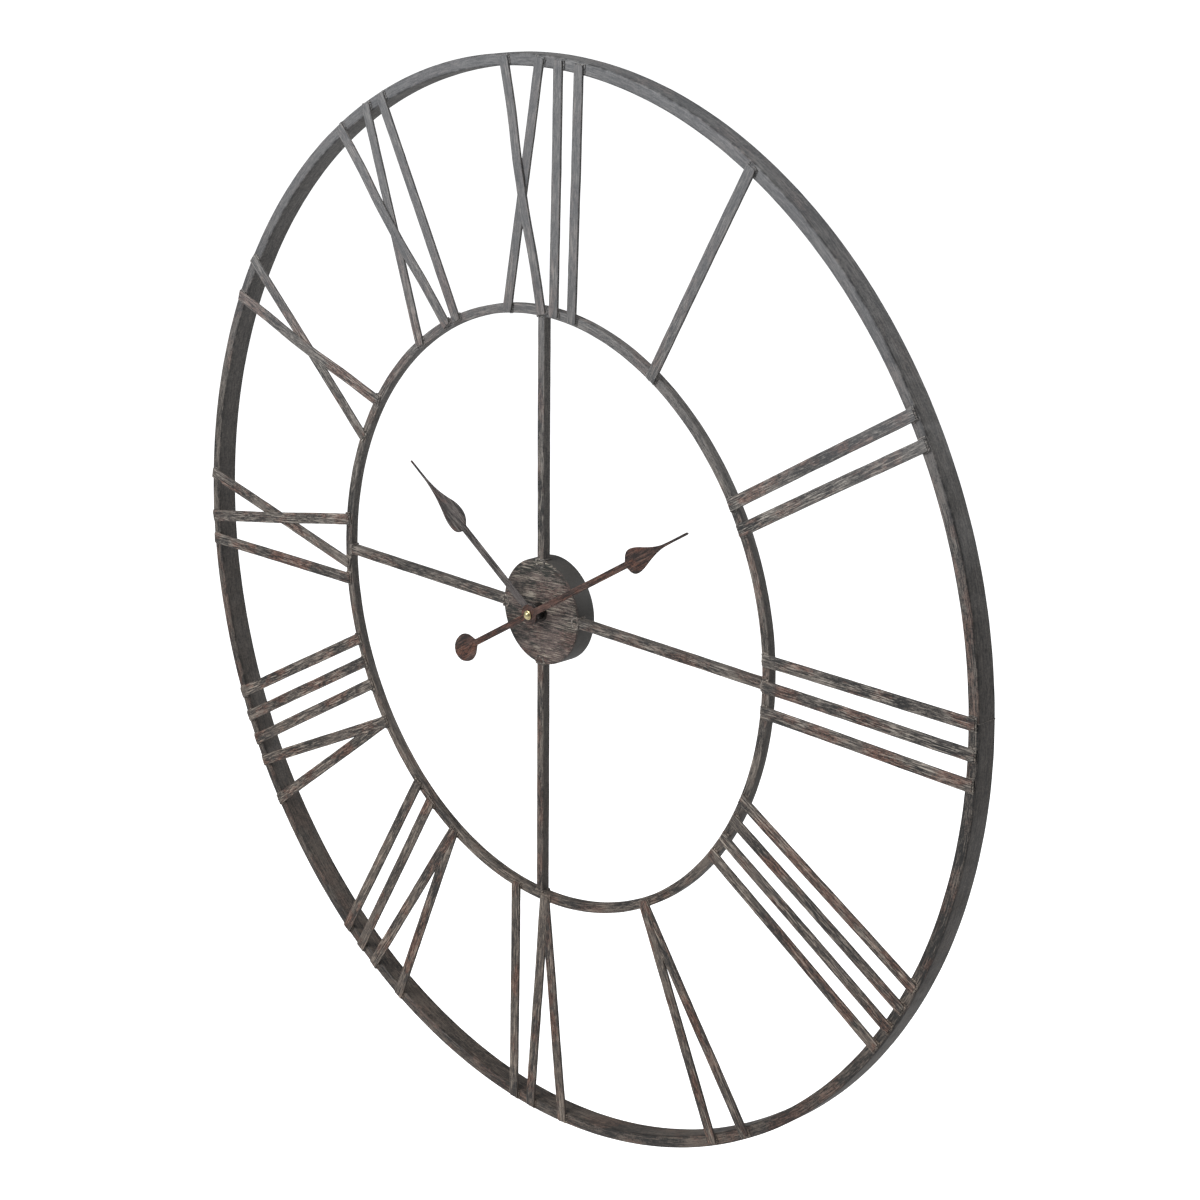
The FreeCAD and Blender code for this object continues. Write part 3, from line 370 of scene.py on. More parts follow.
def srgb(red, green, blue):
    """A colour given as 0 to 255 on a screen, as the linear colour that a shader wants."""
    levels = (level / 255 for level in (red, green, blue))
    linear = (v / 12.92 if v < 0.04045 else ((v + 0.055) / 1.055) ** 2.4 for v in levels)
    return (*linear, 1)


def bumped(tree, height, strength, distance):
    """A bump from a height, as the normal that a shader takes."""
    values = {"Height": height, "Strength": strength, "Distance": distance}
    return wire(tree, "ShaderNodeBump", values).outputs[0]


def principled(tree, output, values):
    """Ends a material with a Principled shader."""
    shader = wire(tree, "ShaderNodeBsdfPrincipled", values)
    tree.links.new(shader.outputs[0], output.inputs[0])


# The even, paler grey of the clock's top: painted light.
PAINTED_TOP_GREY_DARK = srgb(94, 94, 95)
PAINTED_TOP_GREY_LIGHT = srgb(128, 126, 125)
# Multipliers for painted light and shade by height: darker and browner at the foot, paler and bluer at the
# top.
PAINTED_SHADE_FOOT_TINT = (0.84, 0.76, 0.71, 1)
PAINTED_LIGHT_TOP_TINT = (1.22, 1.27, 1.33, 1)


def worn_iron_group():
    """Shader group: graphite paint, dry brushed along the grain and rusted where Front is 1.

    Where Front is 0 it is the same paint left smooth and dark. Its height input paints light and
    shade: darker and browner towards the clock's foot, paler, bluer and more even towards the top.
    """
    tree = bpy.data.node_groups.new("worn_iron", "ShaderNodeTree")
    given, result = named_sockets(
        tree,
        {
            "Grain": ("Vector", None),
            "Front": ("Float", 1.0),
            "Edge": ("Float", 0.0),
            "Tone": ("Float", 0.0),
            "Dark": ("Color", (0.03, 0.03, 0.03, 1)),
            "Light": ("Color", (0.12, 0.12, 0.12, 1)),
            "Rust": ("Color", (0.16, 0.07, 0.05, 1)),
            "Silver": ("Color", (0.42, 0.39, 0.36, 1)),
            "Rust Amount": ("Float", 0.5),
            "Silver Amount": ("Float", 0.5),
            "Pitting": ("Float", 0.5),
            "Painted Light Height": ("Float", 0.5),
            "Sides": ("Float", 0.95),
            "Edge Colour": ("Color", (0.42, 0.39, 0.36, 1)),
        },
        {"Color": "Color", "Roughness": "Float", "Metallic": "Float", "Height": "Float"},
    )
    value = given.outputs
    shifted = wire(
        tree,
        "ShaderNodeVectorMath",
        {0: value["Tone"], 1: (13.1, 7.7, 3.9), 2: value["Grain"]},
        operation="MULTIPLY_ADD",
    ).outputs[0]
    patches = noise(tree, stretch(tree, shifted, (1.0, 2.4, 2.4)), 15.0, 3.0, 0.6)
    rust_cloud = noise(tree, stretch(tree, shifted, (1.0, 2.2, 2.2)), 21.0, 5.0, 0.66, "Color")
    clouds = wire(tree, "ShaderNodeSeparateXYZ", {0: rust_cloud})
    streaks = noise(tree, stretch(tree, shifted, (1.0, 20.0, 20.0)), 46.0, 3.0, 0.65)
    hairs = noise(tree, stretch(tree, shifted, (1.0, 8.0, 8.0)), 130.0, 2.0, 0.6)
    grit = noise(tree, shifted, 620.0, 2.0, 0.7)
    finest = calc(tree, "MULTIPLY", grit, 0.36)
    lines = calc(tree, "MULTIPLY_ADD", streaks, 0.30, calc(tree, "MULTIPLY_ADD", hairs, 0.34, finest))
    lit = band(tree, calc(tree, "ADD", lines, calc(tree, "MULTIPLY_ADD", patches, 0.5, -0.25)), 0.42, 0.60)
    paint = blend_colour(tree, lit, value["Dark"], value["Light"])
    rust = blend_colour(tree, band(tree, lines, 0.42, 0.58), value["Dark"], value["Rust"])
    rust_here = calc(tree, "MULTIPLY", band(tree, clouds.outputs["X"], 0.48, 0.60), value["Rust Amount"])
    rusty = blend_colour(tree, rust_here, paint, rust)
    high_spots = band(tree, clouds.outputs["Y"], 0.42, 0.58)
    rubbed = calc(tree, "MULTIPLY", band(tree, streaks, 0.52, 0.64), high_spots)
    rubbed = calc(tree, "MAXIMUM", rubbed, calc(tree, "MULTIPLY", band(tree, hairs, 0.56, 0.70), 0.5))
    silver = calc(tree, "MULTIPLY", calc(tree, "MULTIPLY", rubbed, value["Silver Amount"]), value["Front"])
    grey = calc(tree, "MULTIPLY", band(tree, lines, 0.30, 0.80), value["Sides"])
    smooth = blend_colour(tree, grey, value["Dark"], value["Light"])
    body = blend_colour(tree, value["Front"], smooth, rusty)
    # Painted light: towards the top the front is blended to this even paler grey, and its silver and pits are
    # damped there.
    painted_top_grey = blend_colour(tree, band(tree, lines, 0.34, 0.66), PAINTED_TOP_GREY_DARK, PAINTED_TOP_GREY_LIGHT)
    painted_light_top = calc(tree, "MULTIPLY", band(tree, value["Painted Light Height"], 0.60, 0.96, 0.88), value["Front"])
    evened = blend_colour(tree, painted_light_top, body, painted_top_grey)
    silver = calc(tree, "MULTIPLY", silver, calc(tree, "MULTIPLY_ADD", painted_light_top, -0.8, 1.0))
    silvered = blend_colour(tree, silver, evened, value["Silver"])
    # Edge colour along the bar's corners, broken up by noise: worn paint where that colour is pale, a painted
    # shade line where it is dark.
    edge_breakup = band(tree, noise(tree, shifted, 120.0, 3.0), 0.40, 0.60, 0.7)
    edge = calc(tree, "MULTIPLY", value["Edge"], edge_breakup)
    edged = blend_colour(tree, edge, silvered, value["Edge Colour"])
    pits = calc(tree, "MULTIPLY", band(tree, grit, 0.55, 0.66), value["Pitting"])
    open_paint = calc(tree, "SUBTRACT", value["Front"], calc(tree, "MULTIPLY", painted_light_top, 0.7))
    pits = calc(tree, "MULTIPLY", pits, open_paint)
    sooty = blend_colour(tree, pits, edged, value["Dark"])
    # Painted light and shade: the colour is multiplied darker and browner towards the foot, paler and bluer
    # towards the top.
    painted_light_and_shade_tint = blend_colour(tree, value["Painted Light Height"], PAINTED_SHADE_FOOT_TINT, PAINTED_LIGHT_TOP_TINT)
    both = {0: 1.0, 6: sooty, 7: painted_light_and_shade_tint}
    tinted = wire(tree, "ShaderNodeMix", both, data_type="RGBA", blend_type="MULTIPLY")
    bare_and_edge_shade = calc(tree, "MAXIMUM", silver, edge)
    rough = calc(tree, "MULTIPLY_ADD", rust_here, 0.25, 0.50)
    rough = calc(tree, "MULTIPLY_ADD", bare_and_edge_shade, -0.14, rough)
    relief = calc(tree, "MULTIPLY_ADD", lines, 1.6, calc(tree, "MULTIPLY", patches, 0.8))
    relief = calc(tree, "MULTIPLY_ADD", pits, -0.5, relief)
    relief = calc(tree, "MULTIPLY", relief, calc(tree, "MULTIPLY_ADD", value["Front"], 0.75, 0.25))
    outputs = {
        "Color": tinted.outputs[2],
        "Roughness": rough,
        "Metallic": calc(tree, "MULTIPLY", bare_and_edge_shade, 0.3),
        "Height": relief,
    }
    for name, socket in outputs.items():
        tree.links.new(socket, result.inputs[name])
    return tree


WORN_IRON = worn_iron_group()


def shaded_iron(tree, output, grain, edge, tone, values, relief, painted_light_by_height=True):
    """Joins the worn iron group to a Principled shader, with the relief as a bump.

    values gives the group's other inputs, each a number, a colour or the output that feeds it.
    """
    group = wire(tree, "ShaderNodeGroup", node_tree=WORN_IRON)
    place = tree.nodes.new("ShaderNodeTexCoord")
    facing = wire(tree, "ShaderNodeSeparateXYZ", {0: place.outputs["Normal"]})
    # Painted light and shade by height: the group's height input runs from 0 at the clock's foot to 1 at its
    # top.
    if painted_light_by_height:
        height = wire(tree, "ShaderNodeSeparateXYZ", {0: place.outputs["Object"]}).outputs["Z"]
        tree.links.new(band(tree, height, -0.46, 0.46), group.inputs["Painted Light Height"])
    front = band(tree, calc(tree, "MULTIPLY", facing.outputs["Y"], -1.0), 0.45, 0.85)
    top = band(tree, facing.outputs["Z"], 0.4, 0.9, 0.5)
    tree.links.new(calc(tree, "MAXIMUM", front, top), group.inputs["Front"])
    for key, value in {"Grain": grain, "Edge": edge, "Tone": tone, **values}.items():
        if isinstance(value, bpy.types.NodeSocket):
            tree.links.new(value, group.inputs[key])
        else:
            group.inputs[key].default_value = value
    surface = {
        "Base Color": group.outputs["Color"],
        "Roughness": group.outputs["Roughness"],
        "Metallic": group.outputs["Metallic"],
        "Normal": bumped(tree, group.outputs["Height"], 0.9, relief),
        "Specular IOR Level": 0.45,
    }
    principled(tree, output, surface)


def bar_material(name, values, relief=0.0004, edge_wear_and_shade=0.5):
    """Worn iron for a swept bar, by the grain, rim and tone that it carries.

    The last argument is how strongly the edge colour shows along the bar's corners: worn paint
    where that colour is pale, a painted shade line where it is dark.
    """
    material, tree, output = new_material(name)
    grain = wire(tree, "ShaderNodeAttribute", attribute_name="grain")
    rim = wire(tree, "ShaderNodeAttribute", attribute_name="rim")
    tone = wire(tree, "ShaderNodeAttribute", attribute_name="tone")
    sides = wire(tree, "ShaderNodeSeparateXYZ", {0: rim.outputs["Vector"]})
    both = calc(tree, "ABSOLUTE", calc(tree, "MULTIPLY", sides.outputs["X"], sides.outputs["Y"]))
    edge = calc(tree, "POWER", calc(tree, "MULTIPLY", both, 4.0), 5.0)
    edge = calc(tree, "MULTIPLY", edge, edge_wear_and_shade)
    shaded_iron(tree, output, grain.outputs["Vector"], edge, tone.outputs["Fac"], values, relief)
    return material


GRAPHITE = {
    "Dark": srgb(40, 40, 40),
    "Light": srgb(120, 113, 106),
    "Rust": srgb(152, 110, 94),
    "Silver": srgb(214, 206, 194),
}
ring_values = {**GRAPHITE, "Rust Amount": 0.35, "Silver Amount": 0.22, "Pitting": 0.3}
# Near black edge colour: a painted shade line along the rim tube's corners, where its front meets its walls.
ring_values["Edge Colour"] = srgb(34, 34, 34)
ring_finish = bar_material("graphite_ring", ring_values, edge_wear_and_shade=1.6)


def hoop(radius, height, seam_degrees, gap=0.0002, count=720):
    """A ring's centre line, open at its seam by the width of the weld."""
    spare = gap / radius
    start = math.radians(seam_degrees) + spare / 2
    turn = 2 * math.pi - spare
    angles = [start + turn * index / count for index in range(count + 1)]
    return [(radius * math.cos(angle), radius * math.sin(angle), height) for angle in angles]


grown_piece(
    "rim_tube",
    SWEPT_BAR,
    path_mesh(
        "rim",
        [hoop(clock_radius - OUTER_RING["face"] / 2, OUTER_RING["depth"] / 2, OUTER_SEAM_DEGREES)],
        [0.35],
    ),
    {
        "Face": OUTER_RING["face"],
        "Depth": OUTER_RING["depth"],
        "Corner": OUTER_RING["corner"],
        "Step": 0.004,
        "Hammering": 0.0003,
        "Wander": 0.0012,
        "Seed": 1.7,
        "Finish": ring_finish,
    },
    "frame",
    ["outer_ring"],
)


# ---- Inner ring ----
# A smaller hoop of solid square bar that carries the feet of the numerals and the ends of the
# spokes. Its front is level with the rim's.

inner_low, inner_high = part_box("inner_ring")
inner_radius = (inner_high.x - inner_low.x) / 2
inner_bar = inner_high.y - inner_low.y
inner_middle = frame_front - inner_bar / 2

hoop_values = {**GRAPHITE, "Rust Amount": 0.45, "Silver Amount": 0.5, "Pitting": 0.45}
hoop_finish = bar_material("graphite_hoop", hoop_values)
grown_piece(
    "inner_hoop",
    SWEPT_BAR,
    path_mesh("inner", [hoop(inner_radius - inner_bar / 2, inner_middle, -88.0)], [0.6]),
    {
        "Face": inner_bar,
        "Depth": inner_bar,
        "Corner": 0.0010,
        "Step": 0.003,
        "Hammering": 0.0004,
        "Wander": 0.0010,
        "Seed": 4.1,
        "Finish": hoop_finish,
    },
    "frame",
    ["inner_ring"],
)


# ---- Spokes ----
# Four lengths of the same square bar, from the drum to the inner ring at three, six, nine and
# twelve. They butt against both and are welded all round.

drum_low, drum_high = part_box("hub_rim")
drum_radius = (drum_high.x - drum_low.x) / 2
spoke_values = {**GRAPHITE, "Rust Amount": 0.42, "Silver Amount": 0.62, "Pitting": 0.4}
spoke_finish = bar_material("graphite_spoke", spoke_values)

for index, side in enumerate(("right", "top", "left", "bottom")):
    angle = index * math.pi / 2
    ends = (drum_radius - 0.001, inner_radius - inner_bar + 0.0008)
    spoke_path = [(reach * math.cos(angle), reach * math.sin(angle), inner_middle) for reach in ends]
    grown_piece(
        f"spoke_bar_{side}",
        SWEPT_BAR,
        path_mesh(side, [spoke_path], [0.13 + 0.27 * index]),
        {
            "Face": inner_bar,
            "Depth": inner_bar,
            "Corner": 0.0010,
            "Step": 0.003,
            "Hammering": 0.0005,
            "Wander": 0.0010,
            "Seed": 10.0 + index,
            "Finish": spoke_finish,
        },
        "frame",
        [f"spoke_{side}"],
    )


# ---- Numerals ----
# Roman numerals of flat bar laid over both rings and welded at each end. The bars of an X cross,
# so its front one is bowed over the other; the two bars of a V meet on the inner ring.

BAR_FACE = 0.011
BAR_THICKNESS = 0.0025
BAR_OUTER_END = 0.0025
BAR_INNER_END = 0.0062
I_PITCH = (0.0255, 0.0230)
X_SPREAD = (0.048, 0.042)
V_SPREAD = (0.045, 0.001)
LETTER_GAP = (0.023, 0.017)
BOW_RUN = 0.060
NUMERALS = ("i", "ii", "iii", "iiii", "v", "vi", "vii", "viii", "ix", "x", "xi", "xii")


def numeral_bars(numeral):
    """Each bar as (kind, place at the rim, place at the inner ring), from the numeral's middle."""
    bars = []
    outer = inner = 0.0
    previous = ""
    for letter in numeral:
        if previous:
            pitch = I_PITCH if previous == letter == "i" else LETTER_GAP
            outer += pitch[0]
            inner += pitch[1]
        if letter == "i":
            bars.append(("flat", outer, inner))
        elif letter == "x":
            bars.append(("flat", outer + X_SPREAD[0], inner))
            bars.append(("bowed", outer, inner + X_SPREAD[1]))
            outer += X_SPREAD[0]
            inner += X_SPREAD[1]
        else:
            middle = inner + V_SPREAD[0] / 2
            bars.append(("sunk", outer, middle - V_SPREAD[1] / 2))
            bars.append(("flat", outer + V_SPREAD[0], middle + V_SPREAD[1] / 2))
            outer += V_SPREAD[0]
            inner += V_SPREAD[0]
        previous = letter
    return [(kind, far - outer / 2, near - inner / 2) for kind, far, near in bars]


def on_circle(start, end, radius):
    """Where the line from start to end crosses a circle about the dial's centre."""
    run = end - start
    a = run.dot(run)
    b = 2 * start.dot(run)
    c = start.dot(start) - radius * radius
    return start + run * ((-b + math.sqrt(b * b - 4 * a * c)) / (2 * a))


def bar_ends(far, near, hour):
    """A bar's two ends in the dial plane, inner one first, for the numeral at that hour."""
    start = Vector((near, inner_radius))
    end = Vector((far, clock_radius))
    turn = Matrix.Rotation(-math.radians(30 * hour), 2)
    inner_end = on_circle(start, end, inner_radius - BAR_INNER_END)
    outer_end = on_circle(start, end, clock_radius - BAR_OUTER_END)
    return turn @ inner_end, turn @ outer_end


def smooth_step(share):
    share = max(0.0, min(1.0, share))
    return share * share * (3 - 2 * share)


def bar_path(kind, inner_end, outer_end):
    """The bar's centre line, with the bow of an X's front bar."""
    count = 60
    length = (outer_end - inner_end).length
    path = []
    for index in range(count + 1):
        point = inner_end.lerp(outer_end, index / count)
        height = frame_front + BAR_THICKNESS / 2
        if kind == "sunk":
            height -= 0.0004
        if kind == "bowed":
            from_middle = abs(index / count - 0.5) * length
            flat = BAR_FACE * 2.4
            height += (BAR_THICKNESS - 0.0002) * (1 - smooth_step((from_middle - flat / 2) / BOW_RUN))
        path.append((point.x, point.y, height))
    return path


numeral_values = {**GRAPHITE, "Rust Amount": 0.72, "Silver Amount": 0.8, "Pitting": 0.55}
numeral_finish = bar_material("graphite_numeral", numeral_values, 0.0005)
every_bar = []
for hour, numeral in enumerate(NUMERALS, start=1):
    bars = [(kind, *bar_ends(far, near, hour)) for kind, far, near in numeral_bars(numeral)]
    every_bar += bars
    grown_piece(
        f"numeral_bars_{numeral}",
        SWEPT_BAR,
        path_mesh(
            numeral,
            [bar_path(*bar) for bar in bars],
            [(0.17 * hour + 0.31 * index) % 1 for index in range(len(bars))],
        ),
        {
            "Face": BAR_FACE,
            "Depth": BAR_THICKNESS,
            "Corner": 0.0008,
            "Step": 0.0028,
            "End Size": 0.86,
            "Hammering": 0.0005,
            "Wander": 0.0016,
            "Seed": 20.0 + hour,
            "Finish": numeral_finish,
        },
        "frame",
        [f"numeral_{numeral}"],
    )


# ---- Weld beads ----
# Every joint is stick welded by hand: a short row of overlapping beads down each side of a bar
# where it lies on a ring, and one across its end. They stand proud and the paint wears off them.

BEAD_RADIUS = 0.0011
BEAD_PITCH = 0.0014


def weld_bead_tree():
    """Geometry nodes: overlapping beads along each path, each one squashed and turned a little."""
    tree = bpy.data.node_groups.new("weld_beads", "GeometryNodeTree")
    given, result = named_sockets(
        tree,
        {
            "Paths": ("Geometry", None),
            "Pitch": ("Float", 0.0015),
            "Radius": ("Float", 0.001),
            "Roughness": ("Float", 0.0005),
            "Seed": ("Int", 0),
            "Finish": ("Material", None),
        },
        {"Beads": "Geometry"},
    )
    value = given.outputs
    curves = wire(tree, "GeometryNodeMeshToCurve", {0: value["Paths"]})
    by_pitch = {"Curve": curves.outputs[0], "Length": value["Pitch"]}
    even = wire(tree, "GeometryNodeResampleCurve", by_pitch, mode="LENGTH")
    points = wire(tree, "GeometryNodeCurveToPoints", {"Curve": even.outputs[0]}, mode="EVALUATED")
    drop = wire(tree, "GeometryNodeMeshIcoSphere", {"Radius": value["Radius"], "Subdivisions": 2})
    size = wire(
        tree,
        "FunctionNodeRandomValue",
        {"Min": (0.75, 0.75, 0.55), "Max": (1.5, 1.5, 0.95), "Seed": value["Seed"]},
        data_type="FLOAT_VECTOR",
    )
    turn = wire(
        tree,
        "FunctionNodeRandomValue",
        {"Min": (-0.3, -0.3, 0.0), "Max": (0.3, 0.3, 6.28), "Seed": value["Seed"]},
        data_type="FLOAT_VECTOR",
    )
    beads = wire(
        tree,
        "GeometryNodeInstanceOnPoints",
        {
            "Points": points.outputs[0],
            "Instance": drop.outputs[0],
            "Rotation": turn.outputs["Value"],
            "Scale": size.outputs["Value"],
        },
    )
    real = wire(tree, "GeometryNodeRealizeInstances", {0: beads.outputs[0]})
    lumps = wire(tree, "ShaderNodeTexNoise", {"Scale": 900.0, "Detail": 1.0})
    moved = jostled(tree, real.outputs[0], lumps.outputs["Color"], value["Roughness"])
    finish_tree(tree, moved, value["Finish"], result)
    return tree


def solid_material(name, values, relief=0.0004, brush_degrees=0.0, tone=0.5):
    """Worn iron for a piece without its own grain: brushed across the dial at an angle."""
    material, tree, output = new_material(name)
    place = tree.nodes.new("ShaderNodeTexCoord")
    turned = wire(
        tree,
        "ShaderNodeMapping",
        {"Vector": place.outputs["Object"], "Rotation": (0, math.radians(brush_degrees), 0)},
    )
    shaded_iron(tree, output, turned.outputs[0], 0.0, tone, values, relief)
    return material


WELD_BEADS = weld_bead_tree()
weld_values = {
    "Dark": srgb(74, 72, 70),
    "Light": srgb(158, 150, 142),
    "Rust": srgb(140, 108, 92),
    "Silver": srgb(226, 218, 204),
    "Rust Amount": 0.4,
    "Silver Amount": 1.0,
    "Pitting": 0.2,
}
weld_finish = solid_material("worn_weld", weld_values, 0.0005, 30)


def bar_welds(inner_end, outer_end):
    """The weld lines at both ends of a bar, in the dial plane."""
    direction = (outer_end - inner_end).normalized()
    sideways = Vector((-direction.y, direction.x))
    edge = BAR_FACE / 2 + 0.0001
    foot = frame_front + 0.0001
    lines = []
    for start, run in ((inner_end, direction * 0.0050), (outer_end, direction * -0.0062)):
        for side in (-1, 1):
            corner = start + sideways * edge * side
            lines.append([(*corner, foot), (*(corner + run), foot)])
        lip = start - run.normalized() * 0.0002
        across = sideways * (BAR_FACE / 2 - 0.001)
        lines.append([(*(lip - across), foot + 0.0008), (*(lip + across), foot + 0.0008)])
    return lines


weld_lines = []
for _, inner_end, outer_end in every_bar:
    weld_lines += bar_welds(inner_end, outer_end)

for index in range(4):
    turn = Matrix.Rotation(index * math.pi / 2, 2)
    half = inner_bar / 2
    for reach in (drum_radius + 0.0002, inner_radius - inner_bar - 0.0002):
        corners = [turn @ Vector((reach, side * half)) for side in (-1, 1)]
        weld_lines.append([(*corner, frame_front - 0.0002) for corner in corners])
        for corner in corners:
            weld_lines.append([(*corner, frame_front), (*corner, frame_front - inner_bar)])
    saddle = [math.radians(90 + 180 * step / 12) for step in range(13)]
    reach = half + 0.0010
    centre = Vector((drum_radius - 0.0016, 0))
    curl = [turn @ (centre + reach * Vector((math.cos(a), math.sin(a)))) for a in saddle]
    weld_lines.append([(*point, frame_front - 0.0003) for point in curl])

grown_piece(
    "weld_beads",
    WELD_BEADS,
    path_mesh("welds", weld_lines, [0.5] * len(weld_lines)),
    {"Pitch": BEAD_PITCH, "Radius": BEAD_RADIUS, "Roughness": 0.0006, "Seed": 7, "Finish": weld_finish},
    "frame",
    [],
    60,
)

seam = math.radians(OUTER_SEAM_DEGREES)
seam_corners = [
    (clock_radius - OUTER_RING["face"] + 0.001, frame_front),
    (clock_radius - 0.0004, frame_front - 0.0002),
    (clock_radius, frame_front - OUTER_RING["depth"] + 0.001),
]
seam_line = [(r * math.cos(seam), r * math.sin(seam), height) for r, height in seam_corners]
grown_piece(
    "rim_seam_weld",
    WELD_BEADS,
    path_mesh("seam", [seam_line], [0.4]),
    {"Pitch": 0.0007, "Radius": 0.0005, "Roughness": 0.0002, "Seed": 3, "Finish": weld_finish},
    "frame",
    [],
    60,
)


# ---- Drum ----
# The centre of the frame: a round face plate welded to the end of a short tube. Its face is
# brushed and rusted in patches, its wall is smooth dark paint.

plate_low, plate_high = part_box("hub_face")
plate_back = -plate_high.y


def turned_mesh(name, profile, segments):
    """A solid of revolution about the dial's axis, from (radius, height) points in a closed loop."""
    shape = bmesh.new()
    columns = []
    for index in range(segments):
        angle = 2 * math.pi * index / segments
        columns.append(
            [shape.verts.new((r * math.cos(angle), r * math.sin(angle), height)) for r, height in profile]
        )
    count = len(profile)
    for index in range(segments):
        near, far = columns[index], columns[(index + 1) % segments]
        for row in range(count):
            after = (row + 1) % count
            shape.faces.new((near[row], far[row], far[after], near[after]))
    bmesh.ops.remove_doubles(shape, verts=shape.verts, dist=1e-7)
    bmesh.ops.recalc_face_normals(shape, faces=shape.faces)
    mesh = bpy.data.meshes.new(name)
    shape.to_mesh(mesh)
    shape.free()
    mesh.transform(stand_up())
    return mesh


def ring_profile(inner, outer, low, high, corner=0.0004, rows=8, steps=3):
    """A rectangular section with softened outer corners, its faces cut into rows."""
    front = [(inner + (outer - corner - inner) * index / rows, high) for index in range(rows + 1)]
    angles = [index * math.pi / 2 / steps for index in range(1, steps)]
    bend = [(outer - corner + corner * math.sin(a), high - corner + corner * math.cos(a)) for a in angles]
    wall = [(outer, high - corner), (outer, low)]
    return front + bend + wall + [(inner, low)]


def dented(mesh, amount, scale, seed):
    """Moves a mesh's points a little, as beaten or cut sheet is never quite true."""
    random.seed(seed)
    waves = []
    for _ in range(6):
        wave = Vector([random.uniform(-1, 1) for _ in range(3)]) * scale
        waves.append((wave, random.uniform(0, 6.28)))
    for vertex in mesh.vertices:
        push = sum(math.sin(vertex.co.dot(wave) + phase) for wave, phase in waves) / len(waves)
        vertex.co.y += push * amount


plate_values = {
    "Dark": srgb(40, 43, 39),
    "Light": srgb(126, 110, 105),
    "Rust": srgb(122, 86, 79),
    "Silver": srgb(204, 196, 180),
    "Rust Amount": 0.6,
    "Silver Amount": 0.75,
    "Pitting": 0.8,
}
plate_mesh = turned_mesh(
    "plate", ring_profile(0.0042, drum_radius, plate_back + 0.0001, frame_front, 0.0017, 8, 6), 160
)
plate_mesh.materials.append(solid_material("brushed_face", plate_values, 0.0005, 4))
dented(plate_mesh, 0.00025, 60, 2)
finished_piece("drum_face_plate", plate_mesh, "frame", ["hub_face"])

wall_values = {
    "Dark": srgb(66, 65, 62),
    "Light": srgb(84, 81, 78),
    "Rust": srgb(92, 76, 70),
    "Silver": srgb(120, 116, 110),
    "Rust Amount": 0.25,
    "Silver Amount": 0.15,
    "Pitting": 0.15,
}
wall_mesh = turned_mesh(
    "wall", ring_profile(drum_radius - 0.002, drum_radius, 0.0, plate_back, 0.0005, 2), 160
)
wall_mesh.materials.append(solid_material("drum_paint", wall_values, 0.00015))
finished_piece("drum_wall", wall_mesh, "frame", ["hub_rim"])


# ---- Hands ----
# Two spade hands punched from thin sheet, each pressed on its own arbor. The minute hand is
# rusted dark red and has an egg for a tail; the hour hand is greyer and browns at its spade.

HAND_THICKNESS = 0.0016
BOSS_RADIUS = 0.0095
HOUR_STEM = 0.0040
MINUTE_STEM = 0.0030
NEEDLE = 0.0011
LONG_STRETCH = 0.04


def half_width(stations, along):
    """The hand's half width at a distance along it: a smooth curve through the stations.

    A stretch over LONG_STRETCH, such as the stem, is straight.
    """
    for index, ((start, first), (end, second)) in enumerate(zip(stations, stations[1:])):
        if start <= along <= end:
            run = end - start
            share = (along - start) / run
            before, after = stations[max(index - 1, 0)], stations[min(index + 2, len(stations) - 1)]
            slope_in = (second - before[1]) / (end - before[0]) * run
            slope_out = (after[1] - first) / (after[0] - start) * run
            if run > LONG_STRETCH:
                slope_in = slope_out = second - first
            square, cube = share**2, share**3
            return (
                first * (2 * cube - 3 * square + 1)
                + slope_in * (cube - 2 * square + share)
                + second * (3 * square - 2 * cube)
                + slope_out * (cube - square)
            )
    return 0.0


def hand_mesh(name, stations, height, angle_degrees):
    """Lofts the blade from cross sections, boss included, and turns it to its place on the dial."""
    start, end = stations[0][0], stations[-1][0]
    count = 260
    right = [(0.82, 0.0), (1.0, 0.35), (1.0, 0.8), (0.85, 1.0)]
    left = [(-x, z) for x, z in reversed(right)]
    cross = [left[2], left[3], *right, (0.0, 1.06), left[0], left[1]]
    shape = bmesh.new()
    rows = []
    for index in range(count + 1):
        along = start + (end - start) * index / count
        half = max(half_width(stations, along), 0.00035)
        if abs(along) < BOSS_RADIUS:
            half = max(half, math.sqrt(BOSS_RADIUS**2 - along**2))
        rows.append([shape.verts.new((half * x, along, height + HAND_THICKNESS * z)) for x, z in cross])
    for near, far in zip(rows, rows[1:]):
        for index in range(len(cross)):
            after = (index + 1) % len(cross)
            shape.faces.new((near[index], near[after], far[after], far[index]))
    shape.faces.new(rows[0])
    shape.faces.new(rows[-1])
    bmesh.ops.recalc_face_normals(shape, faces=shape.faces)
    mesh = bpy.data.meshes.new(name)
    shape.to_mesh(mesh)
    shape.free()
    grain = mesh.attributes.new("grain", "FLOAT_VECTOR", "POINT")
    grain.data.foreach_set("vector", [part for v in mesh.vertices for part in (v.co.y, v.co.x, v.co.z)])
    mesh.transform(stand_up() @ Matrix.Rotation(-math.radians(angle_degrees), 4, "Z"))
    return mesh


def hand_material(name, values, brown_from=None):
    """Worn iron for a hand. With brown_from, the rust comes in beyond that distance along it."""
    material, tree, output = new_material(name)
    grain = wire(tree, "ShaderNodeAttribute", attribute_name="grain").outputs["Vector"]
    if brown_from is not None:
        along = wire(tree, "ShaderNodeSeparateXYZ", {0: grain}).outputs["X"]
        values = {**values, "Rust Amount": band(tree, along, brown_from, brown_from + 0.02, 0.9)}
    shaded_iron(tree, output, grain, 0.0, 0.3, values, 0.0003, painted_light_by_height=False)
    return material


